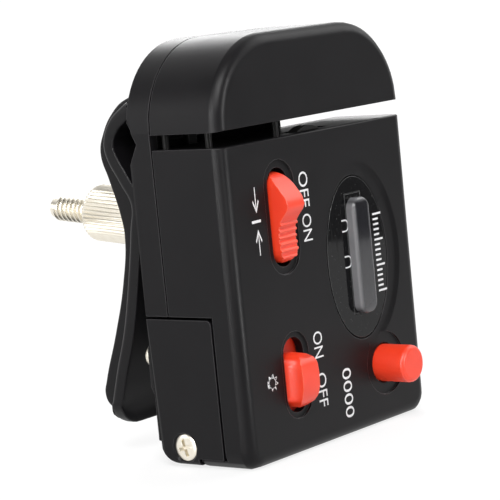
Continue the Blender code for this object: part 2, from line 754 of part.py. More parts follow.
def make_front_shell(material):
    item = solid("front_shell", shell(front_outline, FRONT, SEAM_FRONT, 1), material)

    # The battery cover takes the place of the walls behind a stepped edge.
    outside = HALF_WIDTH + OVERRUN
    cut(item,
        box(-outside, outside, COVER_SIDE_Y - SEAT_GAP, SEAM + OVERRUN, COVER_STEP,
            COVER_TOP + SEAT_GAP / 2),
        box(-outside, outside, COVER_FLOOR_Y - SEAT_GAP, SEAM + OVERRUN, -OVERRUN, COVER_STEP + OVERRUN))
    add_screw_blocks(item)

    cut_switch_opening(item, ROCKER_Z - ROCKER_OPENING_HALF, ROCKER_Z + ROCKER_OPENING_HALF, ROCKER_RIM)
    cut_switch_opening(item, LIGHT_LOW, LIGHT_HIGH, LIGHT_RIM)
    add_rocker_ears(item)
    add_light_rails(item)

    window = (WINDOW_X, WINDOW_Z)
    dish_rim = oval((DISH_X, DISH_Z), DISH_HALF_WIDTH, DISH_HALF_HEIGHT)
    dish_floor = oval((DISH_X, DISH_Z), DISH_HALF_WIDTH - DISH_SLOPE, DISH_HALF_HEIGHT - DISH_SLOPE)
    cut(item,
        loft([across_y(dish_rim, FRONT - OVERRUN), across_y(dish_rim, FRONT),
              across_y(dish_floor, PANEL_FRONT)]),
        prism_y(oval(window, WINDOW_HALF_WIDTH + SEAT_GAP, WINDOW_HALF_HEIGHT + SEAT_GAP),
                FRONT - OVERRUN, POCKET_FLOOR),
        prism_y(oval(window, WINDOW_HALF_WIDTH - LEDGE, WINDOW_HALF_HEIGHT - LEDGE),
                FRONT - OVERRUN, INSIDE_FRONT + OVERRUN))

    reset = (RESET_X, RESET_Z)
    cut(item,
        prism_y(circle(reset, RESET_DISH), FRONT - OVERRUN, FRONT + RIM_DEPTH),
        prism_y(circle(reset, RESET_RADIUS + SEAT_GAP), FRONT - OVERRUN, INSIDE_FRONT + OVERRUN))

    half = wheel_half_chord() + WHEEL_WINDOW_SPARE
    cut(item, box(WHEEL_X - half, WHEEL_X + half, WHEEL_FRONT - WHEEL_WINDOW_SPARE,
                  WHEEL_BACK + WHEEL_WINDOW_SPARE, SLOT_FLOOR - WALL - OVERRUN, SLOT_FLOOR + OVERRUN))
    cut_guide_pin_holes(item, SLOT_FLOOR - GUIDE_PIN_SINK - SEAT_GAP, SLOT_FLOOR + OVERRUN)
    add_front_posts(item)
    return item


def make_hood_shell(material):
    item = solid("hood_shell", shell(hood_outline, FRONT, SEAM_FRONT, 1), material)
    spare = ROLLER_WINDOW_SPARE
    under = SLOT_TOP - OVERRUN
    over = SLOT_TOP + WALL + OVERRUN
    cut(item,
        box(WHEEL_X - ROLLER_RADIUS - spare, WHEEL_X + ROLLER_RADIUS + spare,
            ROLLER_AXLE_FRONT - SEAT_GAP, ARM_FRONT, under, over),
        box(ARM_WINDOW_LEFT, WHEEL_X + ARM_LINK_RADIUS + spare, WHEEL_BACK,
            ARM_BACK + SEAT_GAP + ROLLER_AXLE_HEAD_THICKNESS + SEAT_GAP, under, over))
    cut_guide_pin_holes(item, under, SLOT_TOP + GUIDE_PIN_SINK + SEAT_GAP)
    pivot = (ARM_PIVOT_X, ARM_PIVOT_Z)
    join(item, prism_y(circle(pivot, ARM_PIVOT_BOSS, SMALL_POINTS), INSIDE_FRONT - BASE_SINK,
                       ARM_FRONT - SEAT_GAP))
    cut(item, prism_y(circle(pivot, ARM_PIVOT_RADIUS + RUNNING_GAP, SMALL_POINTS),
                      ARM_PIN_FRONT - SEAT_GAP, ARM_FRONT))
    return item


def make_rear_shell(material):
    item = solid("rear_shell", shell(back_outline, REAR, SEAM_REAR, -1), material)
    tip = REAR - GROOVE_DEPTH
    ridge_root = INSIDE_REAR + BASE_SINK
    ridge = [(ridge_root, GROOVE_TOP + GROOVE_WALL), (tip - GROOVE_WALL, GROOVE_TIP),
             (ridge_root, GROOVE_FOOT - GROOVE_WALL)]
    join(item, prism_x(ridge, WALL / 2 - HALF_WIDTH, NECK_RIGHT - WALL / 2))
    past = (GROOVE_DEPTH + OVERRUN) / GROOVE_DEPTH
    groove = [(tip, GROOVE_TIP),
              (REAR + OVERRUN, GROOVE_TIP + (GROOVE_TOP - GROOVE_TIP) * past),
              (REAR + OVERRUN, GROOVE_TIP + (GROOVE_FOOT - GROOVE_TIP) * past)]
    outside = HALF_WIDTH + OVERRUN
    cut(item, prism_x(groove, -outside, outside))

    # Channel behind the neck that guides the lock slider.
    half = SLIDER_WIDTH / 2 + SEAT_GAP
    wide = half + GUIDE_RIB_WIDTH
    join(item, box(SLIDER_X - wide, SLIDER_X + wide, SLIDER_FRONT, INSIDE_REAR + BASE_SINK,
                   GUIDE_RIB_LOW, GUIDE_RIB_HIGH))
    cut(item, box(SLIDER_X - half, SLIDER_X + half, SLIDER_FRONT - OVERRUN, SLIDER_BACK + SEAT_GAP,
                  GUIDE_RIB_LOW - OVERRUN, GUIDE_RIB_HIGH + OVERRUN))

    # Boss for the clamp stud.
    boss_z = STUD_Z - (REAR - STUD_BOSS_FRONT) / 2 * math.tan(STUD_TILT)
    join(item, prism_y(circle((CLAMP_X, boss_z), STUD_BOSS), STUD_BOSS_FRONT,
                       INSIDE_REAR + BASE_SINK))
    bore = STUD_RADIUS + RUNNING_GAP
    cut(item, place(turned([(bore, -STUD_OUT), (bore, STUD_OUT)]), *STUD_FOOT, "STUD"))
    return item


def make_battery_cover(material):
    item = solid("battery_cover", shell(cover_outline, REAR, COVER_SIDE_Y, -1), material)
    outside = HALF_WIDTH + OVERRUN
    inside = HALF_WIDTH - WALL
    front = COVER_SIDE_Y - OVERRUN
    cut(item,
        box(-outside, outside, front, COVER_FLOOR_Y, -OVERRUN, COVER_STEP + SEAT_GAP),
        box(-inside, inside, front, SEAM_REAR, COVER_ROOF - WALL - OVERRUN, COVER_TOP + OVERRUN))
    heel = COVER_HEEL_RADIUS
    side = [(front - OVERRUN, COVER_TOP + OVERRUN), (front - OVERRUN, COVER_LIFT - OVERRUN),
            (REAR - heel, COVER_LIFT - OVERRUN)]
    side += arc((REAR - heel, COVER_LIFT + heel), heel, 270, 360)
    side.append((REAR, COVER_TOP + OVERRUN))
    keep(item, prism_x(side, -outside, outside))

    for sign in (-1, 1):
        x = sign * BOSS_X
        join(item, prism_y(stadium(x - BOSS_WIDTH / 2, x + BOSS_WIDTH / 2, BOSS_LOW, BOSS_HIGH, SMALL_ARC),
                           INSIDE_REAR + BASE_SINK, REAR + BOSS_HEIGHT))
        cut(item, prism_y(circle((x, REAR_SCREW_Z), REAR_SCREW_SHANK + RUNNING_GAP, SMALL_POINTS),
                          INSIDE_REAR - OVERRUN, REAR + BOSS_HEIGHT + OVERRUN))
        cut(item, side_screw_shape(sign, RUNNING_GAP + SEAT_GAP, OVERRUN))
    return item


def side_screw_shape(sign, spare, overrun):
    """Countersunk screw along X: sign gives the side, spare widens it for its hole."""
    head = SIDE_SCREW_HEAD + spare
    shank = SIDE_SCREW_SHANK + spare
    profile = [(head, overrun)] if overrun else []
    profile += [(head, 0), (shank, -SIDE_SCREW_SINK), (shank, -SIDE_SCREW_LENGTH)]
    bm = turned([(radius, height * sign) for radius, height in profile], SMALL_POINTS)
    return place(bm, sign * HALF_WIDTH, SIDE_SCREW_DEPTH_Y, SIDE_SCREW_Z, "X")


def make_screws(material):
    for sign, side in ((-1, "left"), (1, "right")):
        solid("cover_screw_" + side, side_screw_shape(sign, 0, 0), material)
        top = REAR + BOSS_HEIGHT + SEAT_GAP
        dome = [(REAR_SCREW_SHANK, SEAM - REAR_SCREW_LENGTH + SEAT_GAP), (REAR_SCREW_SHANK, top)]
        for step in range(SMALL_ARC + 1):
            turn = math.radians(80) * step / SMALL_ARC
            dome.append((REAR_SCREW_HEAD * math.cos(turn), top + REAR_SCREW_DOME * math.sin(turn)))
        bm = place(turned(dome, SMALL_POINTS), sign * BOSS_X, 0, REAR_SCREW_Z, "Y")
        solid("rear_screw_" + side, bm, material)


# Window
def lens_outline(rise):
    half = LENS_WIDTH / 2
    points = [(WINDOW_X - half, POCKET_FLOOR), (WINDOW_X + half, POCKET_FLOOR)]
    for step in range(LENS_STEPS + 1):
        turn = math.pi * step / LENS_STEPS
        points.append((WINDOW_X + half * math.cos(turn), FRONT - rise * math.sin(turn)))
    return points


def make_window(gloss, clear):
    panel = solid("window_panel", prism_y(
        oval((WINDOW_X, WINDOW_Z), WINDOW_HALF_WIDTH, WINDOW_HALF_HEIGHT), PANEL_FRONT, PANEL_BACK), gloss)
    half = LENS_WIDTH / 2
    low = LENS_Z - LENS_HEIGHT / 2
    high = LENS_Z + LENS_HEIGHT / 2
    cut(panel, box(WINDOW_X - half - SEAT_GAP, WINDOW_X + half + SEAT_GAP, PANEL_FRONT - OVERRUN,
                   PANEL_BACK + OVERRUN, low - SEAT_GAP, high + SEAT_GAP))

    rings = []
    for place_share, rise_share in LENS_END_SHARES:
        rings.append(across_z(lens_outline(LENS_RISE * rise_share), low + LENS_HEIGHT * place_share))
    for place_share, rise_share in reversed(LENS_END_SHARES):
        rings.append(across_z(lens_outline(LENS_RISE * rise_share), high - LENS_HEIGHT * place_share))
    lens = solid("lens_bar", loft(rings), clear, 50)
    join(lens, box(WINDOW_X - half - LENS_FLANGE, WINDOW_X + half + LENS_FLANGE, POCKET_FLOOR,
                   POCKET_FLOOR + LENS_FLANGE_THICKNESS, low - LENS_FLANGE, high + LENS_FLANGE))


# Line lock
def rocker_face(height_share):
    """How far the rocker's face stands out at a height, as a share of its peak."""
    for (high, out_high), (low, out_low) in zip(ROCKER_FACE_SHARES, ROCKER_FACE_SHARES[1:]):
        if low <= height_share <= high:
            return out_low + (out_high - out_low) * (height_share - low) / (high - low)
    return 0


def make_rocker(material):
    outline = []
    for height_share, out_share in ROCKER_FACE_SHARES:
        outline.append((FRONT - ROCKER_PEAK * out_share, ROCKER_Z + ROCKER_REACH * height_share))
    for height_share, depth_share in ROCKER_BACK_SHARES:
        outline.append((ROCKER_AXIS_Y + ROCKER_HUB * depth_share, ROCKER_Z + ROCKER_REACH * height_share))
    left = SWITCH_X - ROCKER_WIDTH / 2
    right = SWITCH_X + ROCKER_WIDTH / 2
    item = solid("line_lock_rocker", prism_x(outline, left, right), material)
    for index in range(ROCKER_RIBS):
        along = index / (ROCKER_RIBS - 1)
        share = ROCKER_RIB_FIRST_SHARE + (ROCKER_RIB_LAST_SHARE - ROCKER_RIB_FIRST_SHARE) * along
        y = FRONT - ROCKER_PEAK * rocker_face(share)
        rib = circle((y, ROCKER_Z + ROCKER_REACH * share), ROCKER_RIB_RISE, SMALL_ARC * 2)
        join(item, prism_x(rib, left - OVERRUN, right + OVERRUN))
    keep(item, prism_y(stadium(left, right, ROCKER_Z - ROCKER_REACH, ROCKER_Z + ROCKER_REACH),
                       FRONT - 2 * ROCKER_PEAK, ROCKER_AXIS_Y + 2 * ROCKER_HUB))
    tip = ROCKER_AXIS_Y + ROCKER_TAIL
    half = SLIDER_WIDTH / 2
    join(item, box(SWITCH_X - half, SWITCH_X + half, ROCKER_AXIS_Y, tip,
                   ROCKER_Z - ROCKER_TAIL_HALF, ROCKER_Z + ROCKER_TAIL_HALF),
         prism_x(circle((tip, ROCKER_Z), ROCKER_TAIL_RADIUS, SMALL_POINTS), SWITCH_X - half, SWITCH_X + half))
    bore = circle((ROCKER_AXIS_Y, ROCKER_Z), ROCKER_PIN_RADIUS + RUNNING_GAP, SMALL_POINTS)
    cut(item, prism_x(bore, left - OVERRUN, right + OVERRUN))
    put_origin(item, SWITCH_X, ROCKER_AXIS_Y, ROCKER_Z)


def make_rocker_pin(material):
    half = ROCKER_PIN_LENGTH / 2
    pin = circle((ROCKER_AXIS_Y, ROCKER_Z), ROCKER_PIN_RADIUS, SMALL_POINTS)
    solid("rocker_pin", prism_x(pin, SWITCH_X - half, SWITCH_X + half), material)


def make_lock_slider(material):
    """An upright bar in the neck; its foot holds the rocker's tail, its top lifts the arm's peg."""
    left = SLIDER_X - SLIDER_WIDTH / 2
    right = SLIDER_X + SLIDER_WIDTH / 2
    tip = ROCKER_AXIS_Y + ROCKER_TAIL
    slot_half = ROCKER_TAIL_RADIUS + JAW_PLAY
    foot_half = slot_half + JAW_THICKNESS
    jaw_front = tip - JAW_DEPTH / 2
    jaw_back = tip + JAW_DEPTH / 2
    low = ROCKER_Z - foot_half
    high = ROCKER_Z + foot_half
    item = solid("lock_slider", box(left, right, SLIDER_FRONT, SLIDER_BACK, low,
                                    ARM_PIVOT_Z - ARM_PEG_RADIUS - SEAT_GAP), material)
    join(item, box(left, right, jaw_front, SLIDER_FRONT + SLIDER_THICKNESS / 2, low, high),
         box(SLIDER_X, SWITCH_X + JAW_OVERHANG, jaw_front, jaw_back, low, high))
    cut(item, box(right, SWITCH_X + JAW_OVERHANG + OVERRUN, jaw_front - OVERRUN, jaw_back + OVERRUN,
                  ROCKER_Z - slot_half, ROCKER_Z + slot_half))


def make_roller_arm(material):
    peg = (SLIDER_X, ARM_PIVOT_Z)
    pivot = (ARM_PIVOT_X, ARM_PIVOT_Z)
    roller = (WHEEL_X, ROLLER_REST_Z)
    item = solid("roller_arm", prism_y(link(peg, pivot, ARM_LINK_RADIUS, SMALL_ARC), ARM_FRONT, ARM_BACK),
                 material)
    join(item,
         prism_y(link(pivot, roller, ARM_LINK_RADIUS, SMALL_ARC), ARM_FRONT, ARM_BACK),
         prism_y(circle(pivot, ARM_PIVOT_BOSS, SMALL_POINTS), ARM_FRONT, ARM_BACK),
         prism_y(circle(peg, ARM_PEG_RADIUS, SMALL_POINTS), ARM_BACK - ARM_THICKNESS / 2, ARM_PEG_BACK))
    cut(item,
        prism_y(circle(pivot, ARM_PIVOT_RADIUS + RUNNING_GAP, SMALL_POINTS), ARM_FRONT - OVERRUN,
                ARM_BACK + OVERRUN),
        prism_y(circle(roller, ROLLER_AXLE_RADIUS + RUNNING_GAP, SMALL_POINTS), ARM_FRONT - OVERRUN,
                ARM_BACK + OVERRUN))
    put_origin(item, ARM_PIVOT_X, ARM_BACK, ARM_PIVOT_Z)


def headed_pin(name, x, z, radius, front, back, head, head_thickness, material):
    profile = [(radius, front), (radius, back), (head, back), (head, back + head_thickness)]
    solid(name, place(turned(profile, SMALL_POINTS), x, 0, z, "Y"), material)


def make_roller(rubber, steel):
    headed_pin("roller_arm_pin", ARM_PIVOT_X, ARM_PIVOT_Z, ARM_PIVOT_RADIUS, ARM_PIN_FRONT,
               ARM_BACK + SEAT_GAP, ARM_PIN_HEAD, ARM_PIN_HEAD_THICKNESS, steel)
    headed_pin("roller_axle", WHEEL_X, ROLLER_REST_Z, ROLLER_AXLE_RADIUS, ROLLER_AXLE_FRONT,
               ARM_BACK + SEAT_GAP, ROLLER_AXLE_HEAD, ROLLER_AXLE_HEAD_THICKNESS, steel)
    profile = bored(ROLLER_RADIUS, ROLLER_AXLE_RADIUS + RUNNING_GAP, WHEEL_FRONT, WHEEL_BACK)
    item = solid("pinch_roller", place(turned(profile, ROUND_POINTS, True), WHEEL_X, 0, ROLLER_REST_Z, "Y"),
                 rubber)
    put_origin(item, WHEEL_X, WHEEL_FRONT, ROLLER_REST_Z)


# Measuring wheel
def make_measuring_wheel(plastic, rubber, steel):
    tyre_inner = WHEEL_RADIUS - TYRE
    rim = bored(tyre_inner - SEAT_GAP, WHEEL_SHAFT_RADIUS + RUNNING_GAP, WHEEL_FRONT, WHEEL_BACK)
    tyre = bored(WHEEL_RADIUS, tyre_inner, WHEEL_FRONT, WHEEL_BACK)
    for name, profile, material in (("measuring_wheel", rim, plastic), ("wheel_tyre", tyre, rubber)):
        item = solid(name, place(turned(profile, ROUND_POINTS, True), WHEEL_X, 0, WHEEL_Z, "Y"), material)
        put_origin(item, WHEEL_X, WHEEL_FRONT, WHEEL_Z)
    shaft = solid("wheel_shaft", prism_y(circle((WHEEL_X, WHEEL_Z), WHEEL_SHAFT_RADIUS, SMALL_POINTS),
                                         WHEEL_SHAFT_FRONT, BRIDGE_BACK), steel)
    put_origin(shaft, WHEEL_X, WHEEL_FRONT, WHEEL_Z)


def make_guide_pins(material):
    for name, x, y in guide_pin_places():
        solid(name, prism_z(circle((x, y), GUIDE_PIN_RADIUS, SMALL_POINTS),
                            SLOT_FLOOR - GUIDE_PIN_SINK, SLOT_TOP + GUIDE_PIN_SINK), material)


# Counter
def make_counter_frame(material):
    item = solid("counter_frame", prism_y(rectangle(FRAME_LEFT, FRAME_RIGHT, FRAME_LOW, FRAME_HIGH),
                                          FRAME_FRONT, FRAME_BACK), material)
    for low in (FRAME_LOW, TOP_SHELF_LOW):
        join(item, box(COUNTER_X - SHELF_HALF, COUNTER_X + SHELF_HALF, SHELF_FRONT,
                       FRAME_FRONT + FRAME_THICKNESS / 2, low, low + FRAME_SHELF))
    cut(item,
        prism_z(circle((COUNTER_X, COUNTER_Y), COUNTER_SHAFT_RADIUS + RUNNING_GAP, SMALL_POINTS),
                FRAME_LOW - OVERRUN, TOP_SHELF_LOW + FRAME_SHELF + OVERRUN))
    holes = [((WHEEL_X, WHEEL_Z), WHEEL_SHAFT_RADIUS), ((WORM_X, WORM_Z), WORM_SHAFT_RADIUS)]
    holes += [((x, z), FRAME_SCREW_SHANK) for _, x, z in frame_screw_places()]
    holes += [(foot, BRIDGE_SCREW_SHANK) for foot in bridge_feet()]
    for centre, radius in holes:
        cut(item, prism_y(circle(centre, radius + RUNNING_GAP, SMALL_POINTS), FRAME_FRONT - OVERRUN,
                          FRAME_BACK + OVERRUN))


def make_number_wheels(material, steel):
    low = COUNTER_LOW
    for name in ("units_wheel", "tens_wheel", "hundreds_wheel"):
        profile = bored(NUMBER_WHEEL_RADIUS, COUNTER_SHAFT_RADIUS + RUNNING_GAP, 0, NUMBER_WHEEL_HEIGHT)
        item = solid(name, turned(profile, 2 * DIGITS, True), material)
        item.location = (COUNTER_X, COUNTER_Y, low)
        low += NUMBER_WHEEL_HEIGHT + NUMBER_WHEEL_GAP
    shaft = solid("counter_shaft", prism_z(circle((COUNTER_X, COUNTER_Y), COUNTER_SHAFT_RADIUS, SMALL_POINTS),
                                           FRAME_LOW - SHAFT_END,
                                           TOP_SHELF_LOW + FRAME_SHELF + SHAFT_END), steel)
    put_origin(shaft, COUNTER_X, COUNTER_Y, COUNTER_LOW)


# Gear train
def gear_outline(teeth, module, shares, turn):
    """Teeth with straight flanks; the first one points along the turn, in radians."""
    pitch_radius = module * teeth / 2
    pitch = math.pi * module
    points = []
    for tooth in range(teeth):
        middle = turn + 2 * math.pi * tooth / teeth
        flank = [(pitch_radius + module * out, thick * pitch / pitch_radius) for out, thick in shares]
        for radius, half in flank:
            points.append((radius * math.cos(middle - half), radius * math.sin(middle - half)))
        for radius, half in reversed(flank):
            points.append((radius * math.cos(middle + half), radius * math.sin(middle + half)))
    return points


def moved(outline, across, up):
    return [(point[0] + across, point[1] + up) for point in outline]


def worm_ring(turn, along):
    """One cut through the worm's single thread, turned by its place along the axis."""
    points = []
    for index in range(WORM_POINTS):
        share = index / WORM_POINTS
        away = min(share, 1 - share)
        slope = (away - THREAD_TIP_SHARE) / (THREAD_ROOT_SHARE - THREAD_TIP_SHARE)
        radius = WORM_TIP_RADIUS - (WORM_TIP_RADIUS - WORM_ROOT_RADIUS) * min(max(slope, 0), 1)
        angle = turn + 2 * math.pi * share
        points.append((radius * math.cos(angle), radius * math.sin(angle)))
    return across_y(moved(points, WORM_X, WORM_Z), along)


def make_gear_train(plastic, steel):
    # The spur gears: a tooth of the driver stands in a gap of the driven gear.
    toward = math.atan2(WORM_Z - WHEEL_Z, WORM_X - WHEEL_X)
    half_tooth = math.pi / DRIVEN_TEETH
    drive = moved(gear_outline(DRIVE_TEETH, SPUR_MODULE, SPUR_TOOTH_SHARES, toward), WHEEL_X, WHEEL_Z)
    driven = moved(gear_outline(DRIVEN_TEETH, SPUR_MODULE, SPUR_TOOTH_SHARES,
                                toward + math.pi + half_tooth), WORM_X, WORM_Z)
    item = solid("drive_gear", prism_y(drive, SPUR_FRONT, SPUR_BACK), plastic)
    cut(item, prism_y(circle((WHEEL_X, WHEEL_Z), WHEEL_SHAFT_RADIUS + RUNNING_GAP, SMALL_POINTS),
                      SPUR_FRONT - OVERRUN, SPUR_BACK + OVERRUN))
    put_origin(item, WHEEL_X, WHEEL_FRONT, WHEEL_Z)
    item = solid("driven_gear", prism_y(driven, SPUR_FRONT, SPUR_BACK), plastic)
    cut(item, prism_y(circle((WORM_X, WORM_Z), WORM_SHAFT_RADIUS + RUNNING_GAP, SMALL_POINTS),
                      SPUR_FRONT - OVERRUN, SPUR_BACK + OVERRUN))
    put_origin(item, WORM_X, COUNTER_Y, WORM_Z)

    # The worm's thread stands out toward the wheel at the height of the counter's axis.
    lead = math.pi * WORM_MODULE
    count = round(WORM_RINGS_PER_TURN * WORM_LENGTH / lead)
    rings = []
    for step in range(count + 1):
        along = WORM_FRONT + WORM_LENGTH * step / count
        rings.append(worm_ring(2 * math.pi * (COUNTER_Y - along) / lead, along))
    item = solid("worm", loft(rings), steel)
    join(item, prism_y(circle((WORM_X, WORM_Z), WORM_SHAFT_RADIUS, SMALL_POINTS),
                       INSIDE_FRONT + BASE_SINK + SEAT_GAP, BRIDGE_BACK))
    put_origin(item, WORM_X, COUNTER_Y, WORM_Z)

    # A gap of the worm wheel faces the worm.
    half_tooth = math.pi / WORM_WHEEL_TEETH
    outline = gear_outline(WORM_WHEEL_TEETH, WORM_MODULE, WORM_WHEEL_TOOTH_SHARES, math.pi + half_tooth)
    item = solid("worm_wheel", prism_z(moved(outline, COUNTER_X, COUNTER_Y), WORM_WHEEL_LOW,
                                       WORM_WHEEL_HIGH), plastic)
    centre = (COUNTER_X, COUNTER_Y)
    join(item, prism_z(circle(centre, WORM_HUB_RADIUS, SMALL_POINTS), COUNTER_HIGH + SEAT_GAP,
                       WORM_WHEEL_LOW + BASE_SINK))
    cut(item, prism_z(circle(centre, COUNTER_SHAFT_RADIUS + RUNNING_GAP, SMALL_POINTS), COUNTER_HIGH,
                      WORM_WHEEL_HIGH + OVERRUN))
    put_origin(item, COUNTER_X, COUNTER_Y, COUNTER_LOW)


def make_gear_bridge(plastic, steel):
    left, right = bridge_feet()
    item = solid("gear_bridge", prism_y(link(left, right, BRIDGE_RADIUS, SMALL_ARC), BRIDGE_FRONT,
                                        BRIDGE_BACK), plastic)
    join(item, prism_y(link((WORM_X, WORM_Z), (WHEEL_X, WHEEL_Z), BRIDGE_RADIUS, SMALL_ARC),
                       BRIDGE_FRONT, BRIDGE_BACK))
    for foot in (left, right):
        join(item, prism_y(circle(foot, BRIDGE_FOOT_RADIUS, SMALL_POINTS), FRAME_BACK + RUNNING_GAP,
                           BRIDGE_FRONT + BRIDGE_THICKNESS / 2))
    holes = [((WHEEL_X, WHEEL_Z), WHEEL_SHAFT_RADIUS), ((WORM_X, WORM_Z), WORM_SHAFT_RADIUS)]
    holes += [(foot, BRIDGE_SCREW_SHANK) for foot in (left, right)]
    for centre, radius in holes:
        cut(item, prism_y(circle(centre, radius + RUNNING_GAP, SMALL_POINTS), FRAME_BACK,
                          BRIDGE_BACK + OVERRUN))
    for name, foot in (("bridge_screw_left", left), ("bridge_screw_right", right)):
        headed_pin(name, *foot, BRIDGE_SCREW_SHANK, FRAME_FRONT, BRIDGE_BACK + RUNNING_GAP,
                   BRIDGE_FOOT_RADIUS, FRAME_SCREW_HEAD_THICKNESS, steel)
    for name, x, z in frame_screw_places():
        headed_pin(name, x, z, FRAME_SCREW_SHANK, FRAME_BACK - FRAME_SCREW_LENGTH,
                   FRAME_BACK + RUNNING_GAP, FRAME_SCREW_HEAD, FRAME_SCREW_HEAD_THICKNESS, steel)


# Light and cells
def make_lamp(clear):
    """A small lamp with a round tip that shines past the number wheels at the window."""
    base = FRAME_FRONT - RUNNING_GAP
    profile = [(LAMP_RADIUS * math.sin(math.pi / 2 * step / SMALL_ARC),
                LAMP_FRONT + LAMP_RADIUS * (1 - math.cos(math.pi / 2 * step / SMALL_ARC)))
               for step in range(1, SMALL_ARC + 1)]
    profile += [(LAMP_RADIUS, base - LAMP_FLANGE_THICKNESS), (LAMP_FLANGE, base - LAMP_FLANGE_THICKNESS),
                (LAMP_FLANGE, base)]
    solid("lamp", place(turned(profile, SMALL_POINTS), LAMP_X, 0, LAMP_Z, "Y"), clear)


def make_cells(plastic, steel):
    low = TRAY_LOW
    high = CELL_Z + CELL_RADIUS + TRAY_RIM
    left = CELL_LEFT_X - CELL_RADIUS - TRAY_RIM
    right = CELL_RIGHT_X + CELL_RADIUS + TRAY_RIM
    tray = solid("battery_tray", box(left, right, TRAY_FRONT, TRAY_BACK, low, high), plastic)
    cap = CELL_BACK - CELL_LENGTH
    for name, x in (("cell_left", CELL_LEFT_X), ("cell_right", CELL_RIGHT_X)):
        cut(tray, prism_y(circle((x, CELL_Z), CELL_RADIUS + RUNNING_GAP),
                          TRAY_FRONT + TRAY_FLOOR, TRAY_BACK + OVERRUN))
        profile = [(CELL_CAP_RADIUS, cap - CELL_CAP_STEP), (CELL_CAP_RADIUS, cap), (CELL_RADIUS, cap),
                   (CELL_RADIUS, CELL_BACK)]
        solid(name, place(turned(profile), x, 0, CELL_Z, "Y"), steel)
    front = TRAY_BACK + RUNNING_GAP
    solid("contact_strip", box(CELL_LEFT_X - CELL_CAP_RADIUS, CELL_RIGHT_X + CELL_CAP_RADIUS, front,
                               front + CONTACT_THICKNESS, CELL_Z - CONTACT_WIDTH / 2,
                               CELL_Z + CONTACT_WIDTH / 2), steel)


# Light slide and reset button
def make_light_knob(material):
    half = LIGHT_PLATE_WIDTH / 2
    front = INSIDE_FRONT + SEAT_GAP
    item = solid("light_knob", box(SWITCH_X - half, SWITCH_X + half, front,
                                   front + LIGHT_PLATE_THICKNESS, LIGHT_PLATE_LOW, LIGHT_PLATE_HIGH),
                               material)
    outline = [(front + LIGHT_PLATE_THICKNESS / 2, LIGHT_KNOB_LOW + LIGHT_KNOB_HEIGHT),
               (front + LIGHT_PLATE_THICKNESS / 2, LIGHT_KNOB_LOW)]
    for height_share, out_share in LIGHT_KNOB_SHARES:
        outline.append((FRONT - LIGHT_KNOB_RISE * out_share,
                        LIGHT_KNOB_LOW + LIGHT_KNOB_HEIGHT * height_share))
    half = LIGHT_KNOB_WIDTH / 2
    knob = solid("knob", prism_x(outline, SWITCH_X - half, SWITCH_X + half))
    keep(knob, prism_y(stadium(SWITCH_X - half, SWITCH_X + half, LIGHT_KNOB_LOW,
                               LIGHT_KNOB_LOW + LIGHT_KNOB_HEIGHT),
                       FRONT - 2 * LIGHT_KNOB_RISE, front + LIGHT_PLATE_THICKNESS))
    shape = bmesh.new()
    shape.from_mesh(knob.data)
    bpy.data.objects.remove(knob, do_unlink=True)
    join(item, shape)
    put_origin(item, SWITCH_X, FRONT, LIGHT_KNOB_LOW)


def make_reset_button(material):
    flange = INSIDE_FRONT + SEAT_GAP
    top = FRONT - RESET_RISE
    profile = []
    for step in range(SMALL_ARC + 1):
        turn = math.pi / 2 * step / SMALL_ARC
        profile.append((RESET_RADIUS - RESET_ROUND * (1 - math.sin(turn)),
                        top + RESET_ROUND * (1 - math.cos(turn))))
    profile += [(RESET_RADIUS, flange), (RESET_FLANGE, flange),
                (RESET_FLANGE, flange + RESET_FLANGE_THICKNESS),
                (RESET_STEM, flange + RESET_FLANGE_THICKNESS), (RESET_STEM, RESET_STEM_BACK)]
    item = solid("reset_button", place(turned(profile), RESET_X, 0, RESET_Z, "Y"), material)
    put_origin(item, RESET_X, FRONT, RESET_Z)


# Rod clamp
def clamp_points(shares):
    return [(PINCH_LINE + CLAMP_REACH * out, CLAMP_BOTTOM + CLAMP_SPAN * up) for out, up in shares]


def stretch_of(line, low, high):
    """The stretch of a falling line between two heights, with its ends on them."""
    low = max(low, line[-1][1])
    high = min(high, line[0][1])
    ends = []
    for height in (high, low):
        upper, lower = next(pair for pair in zip(line, line[1:]) if pair[1][1] <= height)
        share = (height - lower[1]) / (upper[1] - lower[1])
        ends.append(tuple(Vector(lower).lerp(Vector(upper), share)))
    return [ends[0]] + [point for point in line if low < point[1] < high] + [ends[1]]


def ribbon(line, thickness, drawn_in=0):
    """A closed outline of even thickness along an open line, without folds in its bends."""
    sides = []
    last = len(line) - 1
    for side in (-1, 1):
        edge = []
        for index, point in enumerate(line):
            along = (Vector(line[min(index + 1, last)]) - Vector(line[max(index - 1, 0)])).normalized()
            aside = Vector((-along.y, along.x)) * side
            outer = Vector(point) + aside * thickness / 2
            if min((outer - Vector(other)).length for other in line) > RIBBON_CLEAR_SHARE * thickness / 2:
                edge.append(tuple(outer - aside * drawn_in))
        sides.append(edge)
    return sides[0] + sides[1][::-1]


